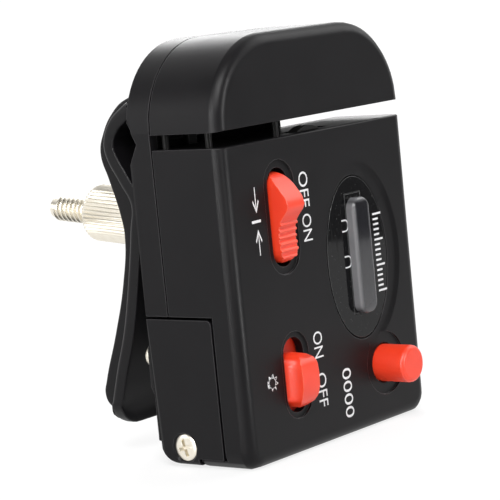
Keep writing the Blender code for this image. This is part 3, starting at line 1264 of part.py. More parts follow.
def make_clamp_arm(material):
    left = CLAMP_X - CLAMP_WIDTH / 2
    right = CLAMP_X + CLAMP_WIDTH / 2
    line = clamp_points(CLAMP_LINE_SHARES)
    curve = smooth(line)
    stretches = (("clamp_handle", curve[-1][1], CLAMP_HUB_LOW - RUNNING_GAP / 2),
                 ("clamp_hub", CLAMP_HUB_LOW + RUNNING_GAP / 2, CLAMP_HUB_HIGH - RUNNING_GAP / 2),
                 ("clamp_jaw", CLAMP_HUB_HIGH + RUNNING_GAP / 2, curve[0][1]))
    for name, low, high in stretches:
        stretch = stretch_of(curve, low, high)
        outline = ribbon(stretch, CLAMP_THICKNESS)
        narrow = ribbon(stretch, CLAMP_THICKNESS, CLAMP_EDGE)
        bm = loft([across_x(narrow, left), across_x(outline, left + CLAMP_EDGE),
                   across_x(outline, right - CLAMP_EDGE), across_x(narrow, right)])
        item = solid(name, bm, material, 40)
        if name == "clamp_hub":
            seat = turned([(CLAMP_SEAT_RADIUS, SEAT_GAP + CLAMP_THICKNESS), (CLAMP_SEAT_RADIUS, CLAMP_SEAT)])
            join(item, place(seat, *STUD_FOOT, "STUD"))
            cut(item, place(turned([(CLAMP_BORE, -CLAMP_SEAT), (CLAMP_BORE, 2 * CLAMP_SEAT)]), *STUD_FOOT,
                            "STUD"))
        put_origin(item, *(STUD_FOOT + STUD_DIRECTION * CLAMP_SEAT))

    # A stiffening rib along each side lies against the back of the arm.
    rib = smooth(clamp_points(CLAMP_RIB_SHARES), RIB_STEPS)
    rib += reversed([point for point in line if RIB_LOW_END < point[1] < RIB_HIGH_END])
    covered = ribbon(curve, CLAMP_THICKNESS + 2 * RUNNING_GAP)
    for name, edge in (("clamp_rib_left", left + CLAMP_RIB_INSET),
                       ("clamp_rib_right", right - CLAMP_RIB_INSET - CLAMP_RIB_WIDTH)):
        item = solid(name, prism_x(rib, edge, edge + CLAMP_RIB_WIDTH), material, 40)
        cut(item, prism_x(covered, edge - OVERRUN, edge + CLAMP_RIB_WIDTH + OVERRUN))
        put_origin(item, *(STUD_FOOT + STUD_DIRECTION * CLAMP_SEAT))


def on_stud(name, profile, distance, material, is_bored=True):
    """A turned piece on the stud, its origin on the axis at a distance behind the body."""
    item = solid(name, turned(profile, ROUND_POINTS, is_bored), material)
    item.location = STUD_FOOT + STUD_DIRECTION * distance
    item.rotation_euler = STUD_TURN
    return item


def make_clamp_hardware(steel):
    on_stud("clamp_stud", [
        (STUD_HEAD, -STUD_IN - STUD_HEAD_THICKNESS), (STUD_HEAD, -STUD_IN), (STUD_RADIUS, -STUD_IN),
        (STUD_RADIUS, STUD_OUT - STUD_END_CHAMFER), (STUD_RADIUS - STUD_END_CHAMFER, STUD_OUT),
    ], 0, steel, False)
    hole = STUD_RADIUS + RUNNING_GAP
    washer = CLAMP_SEAT + SEAT_GAP
    on_stud("clamp_washer", bored(WASHER_RADIUS, hole, 0, WASHER_THICKNESS), washer, steel)
    on_stud("thumb_nut", [
        (hole, 0), (NUT_RADIUS, 0), (NUT_RADIUS, NUT_LENGTH - NUT_CHAMFER), (NUT_END_RADIUS, NUT_LENGTH),
        (hole, NUT_LENGTH),
    ], washer + WASHER_THICKNESS + SEAT_GAP, steel)


def main():
    clear_scene()
    black = make_material("black_plastic", (0.018, 0.017, 0.020), 0.5)
    gloss = make_material("gloss_black", (0.006, 0.006, 0.007), 0.08)
    clear = make_material("clear_lens", (0.5, 0.52, 0.55), 0.05)
    red = make_material("red_plastic", (0.85, 0.06, 0.02), 0.4)
    white = make_material("white_plastic", (0.8, 0.8, 0.78), 0.45)
    rubber = make_material("rubber", (0.03, 0.03, 0.03), 0.8)
    nickel = make_material("nickel", (0.72, 0.69, 0.62), 0.3, 1.0)

    make_front_shell(black)
    make_hood_shell(black)
    make_rear_shell(black)
    make_battery_cover(black)
    make_screws(nickel)
    make_window(gloss, clear)
    make_rocker(red)
    make_rocker_pin(nickel)
    make_lock_slider(white)
    make_roller_arm(white)
    make_roller(rubber, nickel)
    make_measuring_wheel(white, rubber, nickel)
    make_guide_pins(nickel)
    make_counter_frame(white)
    make_number_wheels(black, nickel)
    make_gear_train(white, nickel)
    make_gear_bridge(white, nickel)
    make_lamp(clear)
    make_cells(black, nickel)
    make_light_knob(red)
    make_reset_button(red)
    make_clamp_arm(black)
    make_clamp_hardware(nickel)


main()
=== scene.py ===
# %% [markdown]
# # A clip-on fishing line counter
# This small counter clips onto a fishing rod. The line runs through a slot and presses on a wheel, and
# number wheels behind a magnifying bar show how much line is out. The lesson starts from the packed
# CAD model: its parts stay where they are, and this file gives them their looks. Blender measures in
# metres, so sizes are written in millimetres and multiplied by MM.

# %% Load the frame
import json
import math
import bmesh
import bpy
from mathutils import Matrix, Vector


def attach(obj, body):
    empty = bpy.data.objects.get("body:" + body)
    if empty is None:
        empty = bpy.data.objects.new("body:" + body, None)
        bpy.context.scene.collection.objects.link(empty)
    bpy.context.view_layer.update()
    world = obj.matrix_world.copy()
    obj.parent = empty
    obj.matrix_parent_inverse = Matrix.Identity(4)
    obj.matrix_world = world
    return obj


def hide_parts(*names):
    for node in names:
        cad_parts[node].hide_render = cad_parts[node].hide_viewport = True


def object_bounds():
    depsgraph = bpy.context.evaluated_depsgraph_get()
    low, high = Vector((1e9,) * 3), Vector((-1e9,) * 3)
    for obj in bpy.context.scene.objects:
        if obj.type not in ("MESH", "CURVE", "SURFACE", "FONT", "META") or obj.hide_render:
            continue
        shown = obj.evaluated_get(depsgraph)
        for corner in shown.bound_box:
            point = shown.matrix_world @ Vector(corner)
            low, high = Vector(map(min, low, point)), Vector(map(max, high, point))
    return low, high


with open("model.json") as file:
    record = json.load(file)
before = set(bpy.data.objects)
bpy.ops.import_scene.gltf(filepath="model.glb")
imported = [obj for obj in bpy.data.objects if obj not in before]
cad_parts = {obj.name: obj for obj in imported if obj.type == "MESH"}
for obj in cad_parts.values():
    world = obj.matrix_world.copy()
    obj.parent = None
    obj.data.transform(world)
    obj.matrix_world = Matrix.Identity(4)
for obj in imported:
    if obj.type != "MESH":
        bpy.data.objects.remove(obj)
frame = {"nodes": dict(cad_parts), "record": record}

MM = 0.001


def corners():
    """The model's lowest and highest corners as plain lists."""
    return [[float(value) for value in corner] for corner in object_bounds()]


def linked(name, data):
    """A new object of some data, in the scene."""
    made = bpy.data.objects.new(name, data)
    bpy.context.scene.collection.objects.link(made)
    return made


cad_box = corners()
half_width, case_height = (round(cad_box[1][axis] / MM, 2) for axis in (0, 2))
front = -10.15
print("nodes:", len(frame["nodes"]), "box:", cad_box)

# %% [markdown]
# ## The camera
# A product photograph is taken from far away with a long lens, so that the body hardly tapers.
# The camera looks at the front from its left side, a little from above, and the picture is turned by
# a few degrees, because the counter leans back. Three directions give the camera's turn: right, up and
# back, where back points from the counter to the camera. The lens follows from the picture's width and
# the focal length, both in pixels.

# %% Camera at the photograph's angle
turn, lift, lean = (math.radians(angle) for angle in (-50.67, 7.12, -5.62))
back = Vector((math.sin(turn) * math.cos(lift), -math.cos(turn) * math.cos(lift), math.sin(lift)))
level = Vector((math.cos(turn), math.sin(turn), 0))
above = back.cross(level)
right = math.cos(lean) * level + math.sin(lean) * above
up = math.cos(lean) * above - math.sin(lean) * level

case_middle, shift_right, shift_down, camera_distance = Vector((0, 7.53, 43.68)), 0.3848, 10.1608, 391.6
focal_pixels, picture_pixels, sensor_width = 2202, 500, 36
place = (case_middle + shift_right * level - shift_down * above + camera_distance * back) * MM
camera = linked("camera", bpy.data.cameras.new("camera"))
camera.data.sensor_width = sensor_width
camera.data.lens = focal_pixels / picture_pixels * sensor_width
camera.matrix_world = Matrix.Translation(place) @ Matrix((right, up, back)).transposed().to_4x4()
bpy.context.scene.camera = camera
bpy.context.scene.view_settings.view_transform = "Standard"
print("camera at", [round(value, 3) for value in place], "lens", round(camera.data.lens, 1))

# %% [markdown]
# ## Shader maths as Python
# Blender joins shader nodes by links. Drawing many by hand is slow, so one small class wraps a node's
# socket. Python's operators on it add Math nodes, and one method adds any other node.

# %% A socket that knows arithmetic
class Wire:
    """One socket of a shader, on which + - * / add Math nodes."""

    def __init__(self, tree, socket=None):
        self.tree = tree
        self.socket = socket

    def node(self, kind, settings=None, inputs=None, output=0):
        """Adds a node, sets its settings, then its values or links, and wraps an output."""
        made = self.tree.nodes.new(kind)
        for name, value in (settings or {}).items():
            if name == "stops":
                while len(made.color_ramp.elements) > 1:
                    made.color_ramp.elements.remove(made.color_ramp.elements[0])
                made.color_ramp.elements[0].position = value[0][0]
                stops = [made.color_ramp.elements[0]]
                stops += [made.color_ramp.elements.new(at) for at, grey in value[1:]]
                for stop, (at, grey) in zip(stops, value):
                    stop.color = (grey, grey, grey, 1)
            else:
                setattr(made, name, value)
        for name, value in (inputs or {}).items():
            if isinstance(value, Wire):
                self.tree.links.new(value.socket, made.inputs[name])
            else:
                made.inputs[name].default_value = value
        return Wire(self.tree, made.outputs[output])

    def math(self, operation, *terms):
        """A Math node that works on some terms."""
        return self.node("ShaderNodeMath", {"operation": operation}, dict(enumerate(terms)))

    def __add__(self, other):
        return self.math("ADD", self, other)

    def __radd__(self, other):
        return self.math("ADD", other, self)

    def __sub__(self, other):
        return self.math("SUBTRACT", self, other)

    def __rsub__(self, other):
        return self.math("SUBTRACT", other, self)

    def __mul__(self, other):
        return self.math("MULTIPLY", self, other)

    def __rmul__(self, other):
        return self.math("MULTIPLY", other, self)

    def __truediv__(self, other):
        return self.math("DIVIDE", self, other)


print("operators: + - * /")

# %% [markdown]
# ## Helpers for every finish
# A finish is one Principled shader. What is the same all over goes straight onto its sockets. What
# changes over the surface, such as grain, wear and dust, comes from noise in Object coordinates, which
# stay fixed to the part. The Bevel node rounds the look of every edge by a few tenths of a millimetre
# at most, as a mould or a cutter does, so that each edge catches a thin line of light.

# %% Grain, edges and the finish itself
def noise(wire, size, detail=2.0, stretch=(1, 1, 1)):
    """Grey noise with lumps of a size in metres, drawn out along an axis if wanted."""
    spot = wire.node("ShaderNodeTexCoord", output="Object")
    spot = wire.node("ShaderNodeMapping", None, {"Vector": spot, "Scale": stretch})
    return wire.node("ShaderNodeTexNoise", None, {"Vector": spot, "Scale": 1 / size, "Detail": detail})


def ramp(wire, mask, *stops):
    """Turns a mask into greys, by stops of (place, grey)."""
    return wire.node("ShaderNodeValToRGB", {"stops": stops}, {"Fac": mask})


def blended(wire, share, first, second):
    """A colour between two, by a share."""
    return wire.node("ShaderNodeMix", {"data_type": "RGBA"}, {0: share, 6: first, 7: second}, 2)


def round_edges(wire, radius):
    """The surface's direction, as if its edges were rounded."""
    return wire.node("ShaderNodeBevel", {"samples": 6}, {"Radius": radius})


def edge_wear(wire, rounded):
    """White where the rounded look turns away from the flat surface."""
    flat = wire.node("ShaderNodeNewGeometry", output="Normal")
    dot = wire.node("ShaderNodeVectorMath", {"operation": "DOT_PRODUCT"}, {0: rounded, 1: flat}, "Value")
    return ramp(wire, 1 - dot, (0.01, 0), (0.15, 1))


def rough_skin(wire, rounded, height, depth, strength=1.0):
    """The surface's direction, tilted by a fine relief."""
    sockets = {"Height": height, "Distance": depth, "Strength": strength, "Normal": rounded}
    return wire.node("ShaderNodeBump", None, sockets)


def finish(name, fixed, varying):
    """A material: fixed values on the shader's sockets, and what varies from a function."""
    material = bpy.data.materials.new(name)
    material.use_nodes = True
    shader = material.node_tree.nodes["Principled BSDF"]
    for socket, value in fixed.items():
        shader.inputs[socket].default_value = value
    for socket, wire in varying(Wire(material.node_tree)).items():
        material.node_tree.links.new(wire.socket, shader.inputs[socket])
    print("finish", name, "with", len(material.node_tree.nodes), "nodes")
    return material


# %% [markdown]
# ## The finishes
# The case is black plastic from a mould with a fine spark-eroded skin: it is satin, slightly warm, and
# a little shinier where fingers have rubbed its edges. Its edges are also painted paler, partly as that
# wear and partly as a painted highlight line along each edge. Painting the case as one flat grey would
# look like a drawing, so grain, smears and the edge mask each change the roughness or the colour a little.

# %% Satin black plastic
def satin_black(wire):
    grain = noise(wire, 0.22 * MM, 3.0)
    smears = noise(wire, 9 * MM, 3.0)
    rounded = round_edges(wire, 0.22 * MM)
    edge_share = edge_wear(wire, rounded)
    dark = blended(wire, smears, (0.0040, 0.0037, 0.0044, 1), (0.0064, 0.0058, 0.0068, 1))
    return {
        # Paler edges: partly real wear, partly a painted highlight line along each edge.
        "Base Color": blended(wire, edge_share * 0.8, dark, (0.075, 0.072, 0.076, 1)),
        "Roughness": 0.30 + smears * 0.12 + grain * 0.08 - edge_share * 0.06,
        "Normal": rough_skin(wire, rounded, grain, 0.012 * MM, 0.55),
    }


black_plastic = finish("satin_black_plastic", {"IOR": 1.5, "Specular IOR Level": 0.16}, satin_black)

# %% [markdown]
# The oval window is a polished plate. It keeps the same black, but its roughness is near zero, with a
# few fine wiping scratches and specks of dust that only its gloss shows. A pale line along its edges is
# a painted highlight.

# %% Polished black window
def polished_black(wire):
    scratches = ramp(wire, noise(wire, 0.5 * MM, 4.0, (1, 1, 0.08)), (0.60, 0), (0.72, 1))
    dust = ramp(wire, noise(wire, 0.35 * MM, 1.0), (0.71, 0), (0.76, 1))
    rounded = round_edges(wire, 0.16 * MM)
    # The pale line along the edges is a painted highlight; the pale specks are real dust.
    pale = wire.math("MAXIMUM", dust * 0.35, edge_wear(wire, rounded))
    return {
        "Base Color": blended(wire, pale, (0.0035, 0.0035, 0.004, 1), (0.13, 0.13, 0.13, 1)),
        "Roughness": 0.05 + scratches * 0.08 + dust * 0.25,
        "Normal": rough_skin(wire, rounded, scratches, 0.002 * MM, 0.3),
    }


gloss_black = finish("polished_black_window", {"IOR": 1.5, "Specular IOR Level": 0.2}, polished_black)

# %% [markdown]
# The magnifying bar is moulded acrylic. It is clear in the middle, and its sides and ends are left
# matt from the mould. Its rim and its ends, most of all the lower end, are painted paler: a painted
# reflection of the light that real acrylic carries inside and shows there. The colour follows the
# distance from the bar's middle line, measured in Object coordinates.

# %% Moulded acrylic
bar_x, bar_z, bar_half_width, bar_half_height = 9.68, 31.1, 2.43, 10.35


def acrylic(wire):
    """Dark and clear along the bar's middle, with painted reflected light along its rim and toward its lower
    end.
    """
    spot = wire.node("ShaderNodeTexCoord", output="Object")
    across = wire.node("ShaderNodeSeparateXYZ", None, {0: spot}, "X") / MM
    upward = wire.node("ShaderNodeSeparateXYZ", None, {0: spot}, "Z") / MM
    sideways = wire.math("ABSOLUTE", across - bar_x) / bar_half_width
    # Painted reflection: the rim and the ends are painted paler, standing in for light caught inside the
    # bar.
    painted_rim_light = ramp(wire, sideways, (0.62, 0), (0.80, 0.45), (0.97, 1))
    along = (upward - bar_z) / (2 * bar_half_height) + 0.5
    painted_end_light = ramp(wire, along, (0.0, 0.40), (0.06, 0.20), (0.45, 0.12), (0.75, 0.0), (0.955, 0.0), (0.99, 0.8))
    cloud = noise(wire, 2.5 * MM, 3.0)
    pale = wire.math("MAXIMUM", painted_rim_light, painted_end_light) * (0.8 + cloud * 0.3)
    flow = noise(wire, 0.5 * MM, 3.0, (1, 1, 0.2))
    return {
        "Base Color": blended(wire, pale, (0.008, 0.008, 0.012, 1), (0.25, 0.25, 0.26, 1)),
        "Roughness": 0.05 + pale * 0.14 + flow * 0.03,
        "Normal": round_edges(wire, 0.10 * MM),
    }


clear_lens = finish("moulded_acrylic", {"Transmission Weight": 0.25, "IOR": 1.49, "Specular IOR Level": 0.35,
                                       "Coat Weight": 0.15, "Coat Roughness": 0.04}, acrylic)

# %% [markdown]
# The switches and the button are a strong orange red. Such plastic lets a little light in, which makes
# its edges glow, so the shader gets some subsurface light over half a millimetre.

# %% Orange red plastic
def switch_red(wire):
    grain = noise(wire, 0.18 * MM, 2.0)
    flow = noise(wire, 4 * MM, 3.0)
    rounded = round_edges(wire, 0.18 * MM)
    edge_share = edge_wear(wire, rounded)
    red = blended(wire, flow, (0.86, 0.040, 0.012, 1), (0.95, 0.062, 0.020, 1))
    return {
        "Base Color": blended(wire, edge_share * 0.6, red, (1.0, 0.26, 0.15, 1)),
        "Roughness": 0.30 + grain * 0.10 + flow * 0.06,
        "Normal": rough_skin(wire, rounded, grain, 0.008 * MM, 0.4),
    }


red_plastic = finish("switch_red_plastic", {"Subsurface Weight": 0.15, "Subsurface Scale": 0.5 * MM,
                                            "Subsurface Radius": (1.0, 0.3, 0.15)}, switch_red)

# %% [markdown]
# Inside, the frame and the small fittings are natural white plastic, slightly yellow, with soft flow
# marks. Rollers and the tyre are rubber, which is dark, dull and dusty.

# %% White plastic and rubber
def natural_white(wire):
    flow = noise(wire, 3 * MM, 3.0)
    grain = noise(wire, 0.2 * MM, 2.0)
    rounded = round_edges(wire, 0.12 * MM)
    return {
        "Base Color": blended(wire, flow, (0.70, 0.69, 0.64, 1), (0.80, 0.79, 0.75, 1)),
        "Roughness": 0.40 + grain * 0.15,
        "Normal": rough_skin(wire, rounded, grain, 0.006 * MM, 0.4),
    }


def dull_rubber(wire):
    grain = noise(wire, 0.12 * MM, 4.0)
    dust = noise(wire, 1.5 * MM, 4.0)
    rounded = round_edges(wire, 0.15 * MM)
    return {
        "Base Color": blended(wire, dust, (0.014, 0.014, 0.014, 1), (0.040, 0.038, 0.036, 1)),
        "Roughness": 0.68 + grain * 0.2,
        "Normal": rough_skin(wire, rounded, grain, 0.015 * MM, 0.7),
    }


white_plastic = finish("natural_white_plastic", {"Subsurface Weight": 0.05, "Subsurface Scale": 0.5 * MM},
                       natural_white)
rubber = finish("dull_rubber", {}, dull_rubber)

# %% [markdown]
# The clamp's stud, nut and screws are nickel plated. Plating is bright and a little yellow, and turning
# leaves fine rings across the clamp's axis, which is nearly along Y.

# %% Nickel plate
def nickel_plate(wire):
    rings = noise(wire, 0.9 * MM, 3.0, (0.3, 9, 0.3))
    stains = noise(wire, 2.5 * MM, 4.0)
    rounded = round_edges(wire, 0.07 * MM)
    edge_share = edge_wear(wire, rounded)
    plate = blended(wire, stains, (0.92, 0.88, 0.78, 1), (0.76, 0.70, 0.59, 1))
    return {
        "Base Color": blended(wire, edge_share * 0.4, plate, (0.96, 0.93, 0.86, 1)),
        "Roughness": 0.20 + rings * 0.10 + stains * 0.14,
        "Normal": rough_skin(wire, rounded, rings, 0.003 * MM, 0.5),
    }


nickel = finish("nickel_plate", {"Metallic": 1.0}, nickel_plate)

# %% [markdown]
# The pins that guide the line across the slot are steel, coloured nearly black as painted shade, because
# they stand in the slot's shade. The marks on the front are printed in white ink: a thin layer, a little
# uneven, so that the black shows through here and there.

# %% Dark steel and white ink
def dark_steel_skin(wire):
    stains = noise(wire, 0.8 * MM, 3.0)
    # Near black is painted shade: the pins stand in the slot's shade.
    return {
        "Base Color": blended(wire, stains, (0.0025, 0.0025, 0.0025, 1), (0.008, 0.0075, 0.007, 1)),
        "Roughness": 0.32 + stains * 0.2,
        "Normal": round_edges(wire, 0.05 * MM),
    }


def white_ink_skin(wire):
    thin = ramp(wire, noise(wire, 0.25 * MM, 4.0), (0.38, 1), (0.50, 0))
    grain = noise(wire, 0.1 * MM, 2.0)
    flat = wire.node("ShaderNodeNewGeometry", output="Normal")
    return {
        "Base Color": blended(wire, thin * 0.35, (0.82, 0.82, 0.83, 1), (0.40, 0.40, 0.42, 1)),
        "Roughness": 0.45 + grain * 0.15,
        "Normal": rough_skin(wire, flat, grain, 0.004 * MM, 0.3),
    }


dark_steel = finish("dark_steel", {"Specular IOR Level": 0.12}, dark_steel_skin)
white_ink = finish("white_ink", {}, white_ink_skin)

# %% [markdown]
# ## Turning a rough shape into a finished piece
# A piece is made in three steps: shape it with mesh operators, merge its doubled corners, and let the
# surface shade smoothly wherever two faces meet at a shallow angle. Sharper edges stay crisp. Each
# piece then rides on the CAD body that carries it, so that it moves with that body's joint.

# %% One way to finish every piece
body_of = {node: body for body, nodes in frame["record"]["behaviour"]["bodies"].items() for node in nodes}
merge_distance, double_distance = 0.002 * MM, 0.001 * MM


def mesh_of(shape, name="part"):
    """Turns a bmesh into a mesh."""
    mesh = bpy.data.meshes.new(name)
    shape.to_mesh(mesh)
    shape.free()
    return mesh


def piece(name, shape, look, body, stands_for=(), crease=32):
    """Makes an object of a bmesh, dresses it, and hands it to the CAD body that carries it."""
    bmesh.ops.remove_doubles(shape, verts=shape.verts, dist=merge_distance)
    mesh = mesh_of(shape, name)
    mesh.shade_smooth()
    mesh.set_sharp_from_angle(angle=math.radians(crease))
    mesh.materials.append(look)
    made = linked(name, mesh)
    even = made.modifiers.new("even_shading", "WEIGHTED_NORMAL")
    even.keep_sharp = True
    even.weight = 80
    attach(made, body)
    if stands_for:
        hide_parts(*stands_for)
    return made


def outward(shape):
    """Merges doubled corners, then turns every face outwards."""
    bmesh.ops.remove_doubles(shape, verts=shape.verts, dist=double_distance)
    bmesh.ops.recalc_face_normals(shape, faces=shape.faces)
    return shape


def block(low, high):
    """A box between two corners in mm."""
    shape = bmesh.new()
    bmesh.ops.create_cube(shape, size=1)
    bmesh.ops.scale(shape, verts=shape.verts, vec=(Vector(high) - Vector(low)) * MM)
    bmesh.ops.translate(shape, verts=shape.verts, vec=(Vector(high) + Vector(low)) / 2 * MM)
    return shape


def rounded_off(shape, edges, radius, steps):
    """Rounds some edges with a radius in mm."""
    bmesh.ops.bevel(shape, geom=edges, offset=radius * MM, affect="EDGES", segments=steps, profile=0.5,
                    material=-1)


print("bodies:", sorted(set(body_of.values())))

# %% [markdown]
# ## Turned parts
# Screws, the stud and the nut are turned on a lathe, and spin works just as a lathe does: half of the
# outline goes round an axis. The outline is a list of radii and heights. Its two ends lie on the axis
# or on each other, so the solid closes by itself.

# %% The lathe
def lathe(outline, steps=48, rise=0.0):
    """Spins an outline of (radius, height) in mm about Z, and lifts it by a rise on the way round."""
    shape = bmesh.new()
    points = [shape.verts.new((radius * MM, 0, height * MM)) for radius, height in outline]
    line = [shape.edges.new(pair) for pair in zip(points, points[1:])]
    bmesh.ops.spin(shape, geom=points + line, axis=(0, 0, 1), cent=(0, 0, 0), steps=steps,
                   angle=math.tau, dvec=(0, 0, rise * MM / steps), use_merge=rise == 0)
    return outward(shape)


def standing(spot, direction, roll=0.0):
    """A matrix that stands a piece's Z axis at a spot in mm, along a direction."""
    turn_to = Vector(direction).normalized().to_track_quat("Z", "Y").to_matrix().to_4x4()
    return Matrix.Translation(Vector(spot) * MM) @ turn_to @ Matrix.Rotation(math.radians(roll), 4, "Z")


def together(*shapes):
    """One bmesh of several."""
    whole = bmesh.new()
    for shape in shapes:
        mesh = mesh_of(shape)
        whole.from_mesh(mesh)
        bpy.data.meshes.remove(mesh)
    return whole


print("lathe ready")

# %% [markdown]
# ## Cutting with modifiers
# Some work is easier with a modifier than with mesh operators. The shape becomes an object for a
# moment, the modifier works on it, and the result is taken back as a new shape. A Boolean modifier
# takes cutters away, as a drill or a punch does.

# %% Modifiers on a shape
def worked(shape, *steps):
    """The shape after modifiers, each one a kind and its settings."""
    item = linked("part", mesh_of(shape))
    for kind, settings in steps:
        modifier = item.modifiers.new(kind, kind)
        for name, value in settings.items():
            setattr(modifier, name, value)
    result = bmesh.new()
    result.from_object(item, bpy.context.evaluated_depsgraph_get())
    bpy.data.meshes.remove(item.data)
    return result


def carved(shape, *cutters):
    """The shape less its cutters, through Boolean modifiers."""
    tools = [linked("cutter", mesh_of(cutter)) for cutter in cutters]
    result = worked(shape, *[("BOOLEAN", {"operation": "DIFFERENCE", "object": tool}) for tool in tools])
    for tool in tools:
        bpy.data.meshes.remove(tool.data)
    return result


print("modifiers ready")

# %% [markdown]
# ## Cross-head screws
# A screw's cross is pressed into its head. Here two tapered bars are cut out of the turned head. They
# are wider at the top, as the punch is. The side screws sit flush, and those at the back have a dome.

# %% Screws with a cross recess
bar_taper = (0.62, 0.66, 1)
tip_share, tip_length, dome_shares = 0.6, 0.5, (0.3, 0.6, 0.85)
dome_curve, dome_rise, bar_share, bar_depth, bar_overrun = 0.6, 0.8, 0.30, 0.9, 0.2


def tapered_bar(length, width, depth, top):
    """A bar across the head, in mm, narrower at its foot."""
    bar = bmesh.new()
    bmesh.ops.create_cube(bar, size=1)
    bmesh.ops.scale(bar, verts=bar.verts, vec=(length * MM, width * MM, depth * MM))
    low = [vert for vert in bar.verts if vert.co.z < 0]
    bmesh.ops.scale(bar, verts=low, vec=bar_taper)
    bmesh.ops.translate(bar, verts=bar.verts, vec=(0, 0, (top - depth / 2) * MM))
    return bar


def cross_screw(head, dome, edge, length, shank=1.05, cross=0.72):
    """A screw whose head's top is at height 0, all in mm, with a cross that fills a share of the head."""
    outline = [(0, -length), (shank * tip_share, -length), (shank, -length + tip_length),
               (shank, -dome - edge), (head, -dome - edge), (head, -dome)]
    for share in dome_shares:
        radius = head * math.cos(share * math.pi / 2) ** dome_curve
        outline.append((radius, -dome + dome * share ** dome_rise))
    outline.append((0, 0))
    screw = lathe(outline)
    bars = [tapered_bar(cross * head * 2, bar_share * head, bar_depth + bar_overrun, bar_overrun)
            for arm in range(2)]
    quarter = Matrix.Rotation(math.pi / 2, 3, "Z")
    bmesh.ops.rotate(bars[1], verts=bars[1].verts, cent=(0, 0, 0), matrix=quarter)
    return carved(screw, *bars)


flush = {"head": 2.35, "dome": 0.35, "edge": 0.9, "length": 5.9}
domed = {"head": 2.08, "dome": 1.0, "edge": 0.35, "length": 6.0}
screws = {
    "cover_screw_left": (flush, (-half_width, 4.25, 3.5), (-1, 0, 0), 17),
    "cover_screw_right": (flush, (half_width, 4.25, 3.5), (1, 0, 0), 40),
    "rear_screw_left": (domed, (-21.8, 13.7, 18.5), (0, 1, 0), 25),
    "rear_screw_right": (domed, (21.8, 13.7, 18.5), (0, 1, 0), -15),
}
for node, (sizes, spot, direction, roll) in screws.items():
    shape = cross_screw(**sizes)
    bmesh.ops.transform(shape, matrix=standing(spot, direction, roll), verts=shape.verts)
    piece(node + "_turned", shape, nickel, body_of[node], [node])
print("screws with a cross:", len(screws))

# %% [markdown]
# ## Stud
# The clamp's stud has a real thread. A zigzag outline goes once round the axis while it rises by one
# pitch, so each tooth ends exactly where the next one began: the seam closes into one long helix. A
# plain core closes both ends, and the last teeth are turned down, so that the nut starts easily.

# %% Threaded stud
clamp_x = -8.0
stud_foot = (clamp_x, -front, 39.3)
stud_axis = (0, math.cos(math.radians(5.5)), math.sin(math.radians(5.5)))
stud_out, pitch, tip, root, turns = 35.9, 1.058, 2.4, 1.82, 33
rise_at, tip_at, fall_at = (share * pitch for share in (0.12, 0.44, 0.62))
plain_end, cone_start, cone_length, cone_share = 0.75, 1.5, 1.2, 0.27
head_radius, head_low, head_high, skin, end_depth, end_inset = 3.6, -9.1, -7.9, 0.05, 0.25, 0.2
zigzag = []
for tooth in range(turns):
    base = stud_out - plain_end - pitch * (turns - tooth + 1)
    zigzag += [(root, base), (root, base + rise_at), (tip, base + tip_at), (tip, base + fall_at)]
thread = lathe(zigzag, 40, pitch)
for vert in thread.verts:
    past = vert.co.z / MM - (stud_out - cone_start)
    if past > 0:
        vert.co.xy *= 1 - cone_share * min(past / cone_length, 1)
core = lathe([(0, head_low), (head_radius, head_low), (head_radius, head_high), (root + skin, head_high),
              (root + skin, stud_out - end_depth), (root - end_inset, stud_out), (0, stud_out)], 40)
stud = together(thread, core)
bmesh.ops.transform(stud, matrix=standing(stud_foot, stud_axis), verts=stud.verts)
piece("threaded_stud", stud, nickel, body_of["clamp_stud"], ["clamp_stud"], 40)
print("thread turns:", turns)

# %% [markdown]
# ## Thumb nut
# The thumb nut is a turned sleeve with a straight knurl. On the real nut a toothed roller presses the
# valleys in. Here a cosine wave round the axis draws the outer points in, four points to each ridge.

# %% Knurled thumb nut
ridges, valley_share, plain_radius = 44, 0.055, 4.0
nut_low, nut_length, nut_bore, nut_radius = 10.4, 15.0, 2.45, 5.2
nut = lathe([(nut_bore, 0), (4.6, 0), (nut_radius, 0.5), (nut_radius, nut_length - 1.1),
             (5.0, nut_length - 0.6), (4.6, nut_length - 0.2), (4.2, nut_length), (nut_bore, nut_length),
             (nut_bore, 0)], ridges * 4)
for vert in nut.verts:
    radius = vert.co.xy.length / MM
    if radius > plain_radius:
        phase = math.atan2(vert.co.y, vert.co.x) / math.tau * ridges % 1
        valley = 0.5 + 0.5 * math.cos(phase * math.tau)
        vert.co.xy *= 1 - valley_share * valley * min(radius - plain_radius, 1)
bmesh.ops.translate(nut, verts=nut.verts, vec=(0, 0, nut_low * MM))
bmesh.ops.transform(nut, matrix=standing(stud_foot, stud_axis), verts=nut.verts)
piece("knurled_thumb_nut", nut, nickel, body_of["thumb_nut"], ["thumb_nut"], 50)
print("knurl ridges:", ridges)

# %% [markdown]
# ## Printed marks
# Text is the quickest way to clean outlines: a font's letters become a flat mesh, which is then scaled
# into the box that the print fills. ON and OFF and plain signs are printed along the front, turned a
# quarter, so that they read downward. The print lies a few hundredths of a millimetre proud.

# %% Flat letters as a mesh
def drawn(curve):
    """The bmesh that a curve or a text draws."""
    holder = linked("holder", curve)
    bpy.context.view_layer.update()
    mesh = bpy.data.meshes.new_from_object(holder.evaluated_get(bpy.context.evaluated_depsgraph_get()))
    shape = bmesh.new()
    shape.from_mesh(mesh)
    bpy.data.objects.remove(holder)
    bpy.data.curves.remove(curve)
    bpy.data.meshes.remove(mesh)
    return shape


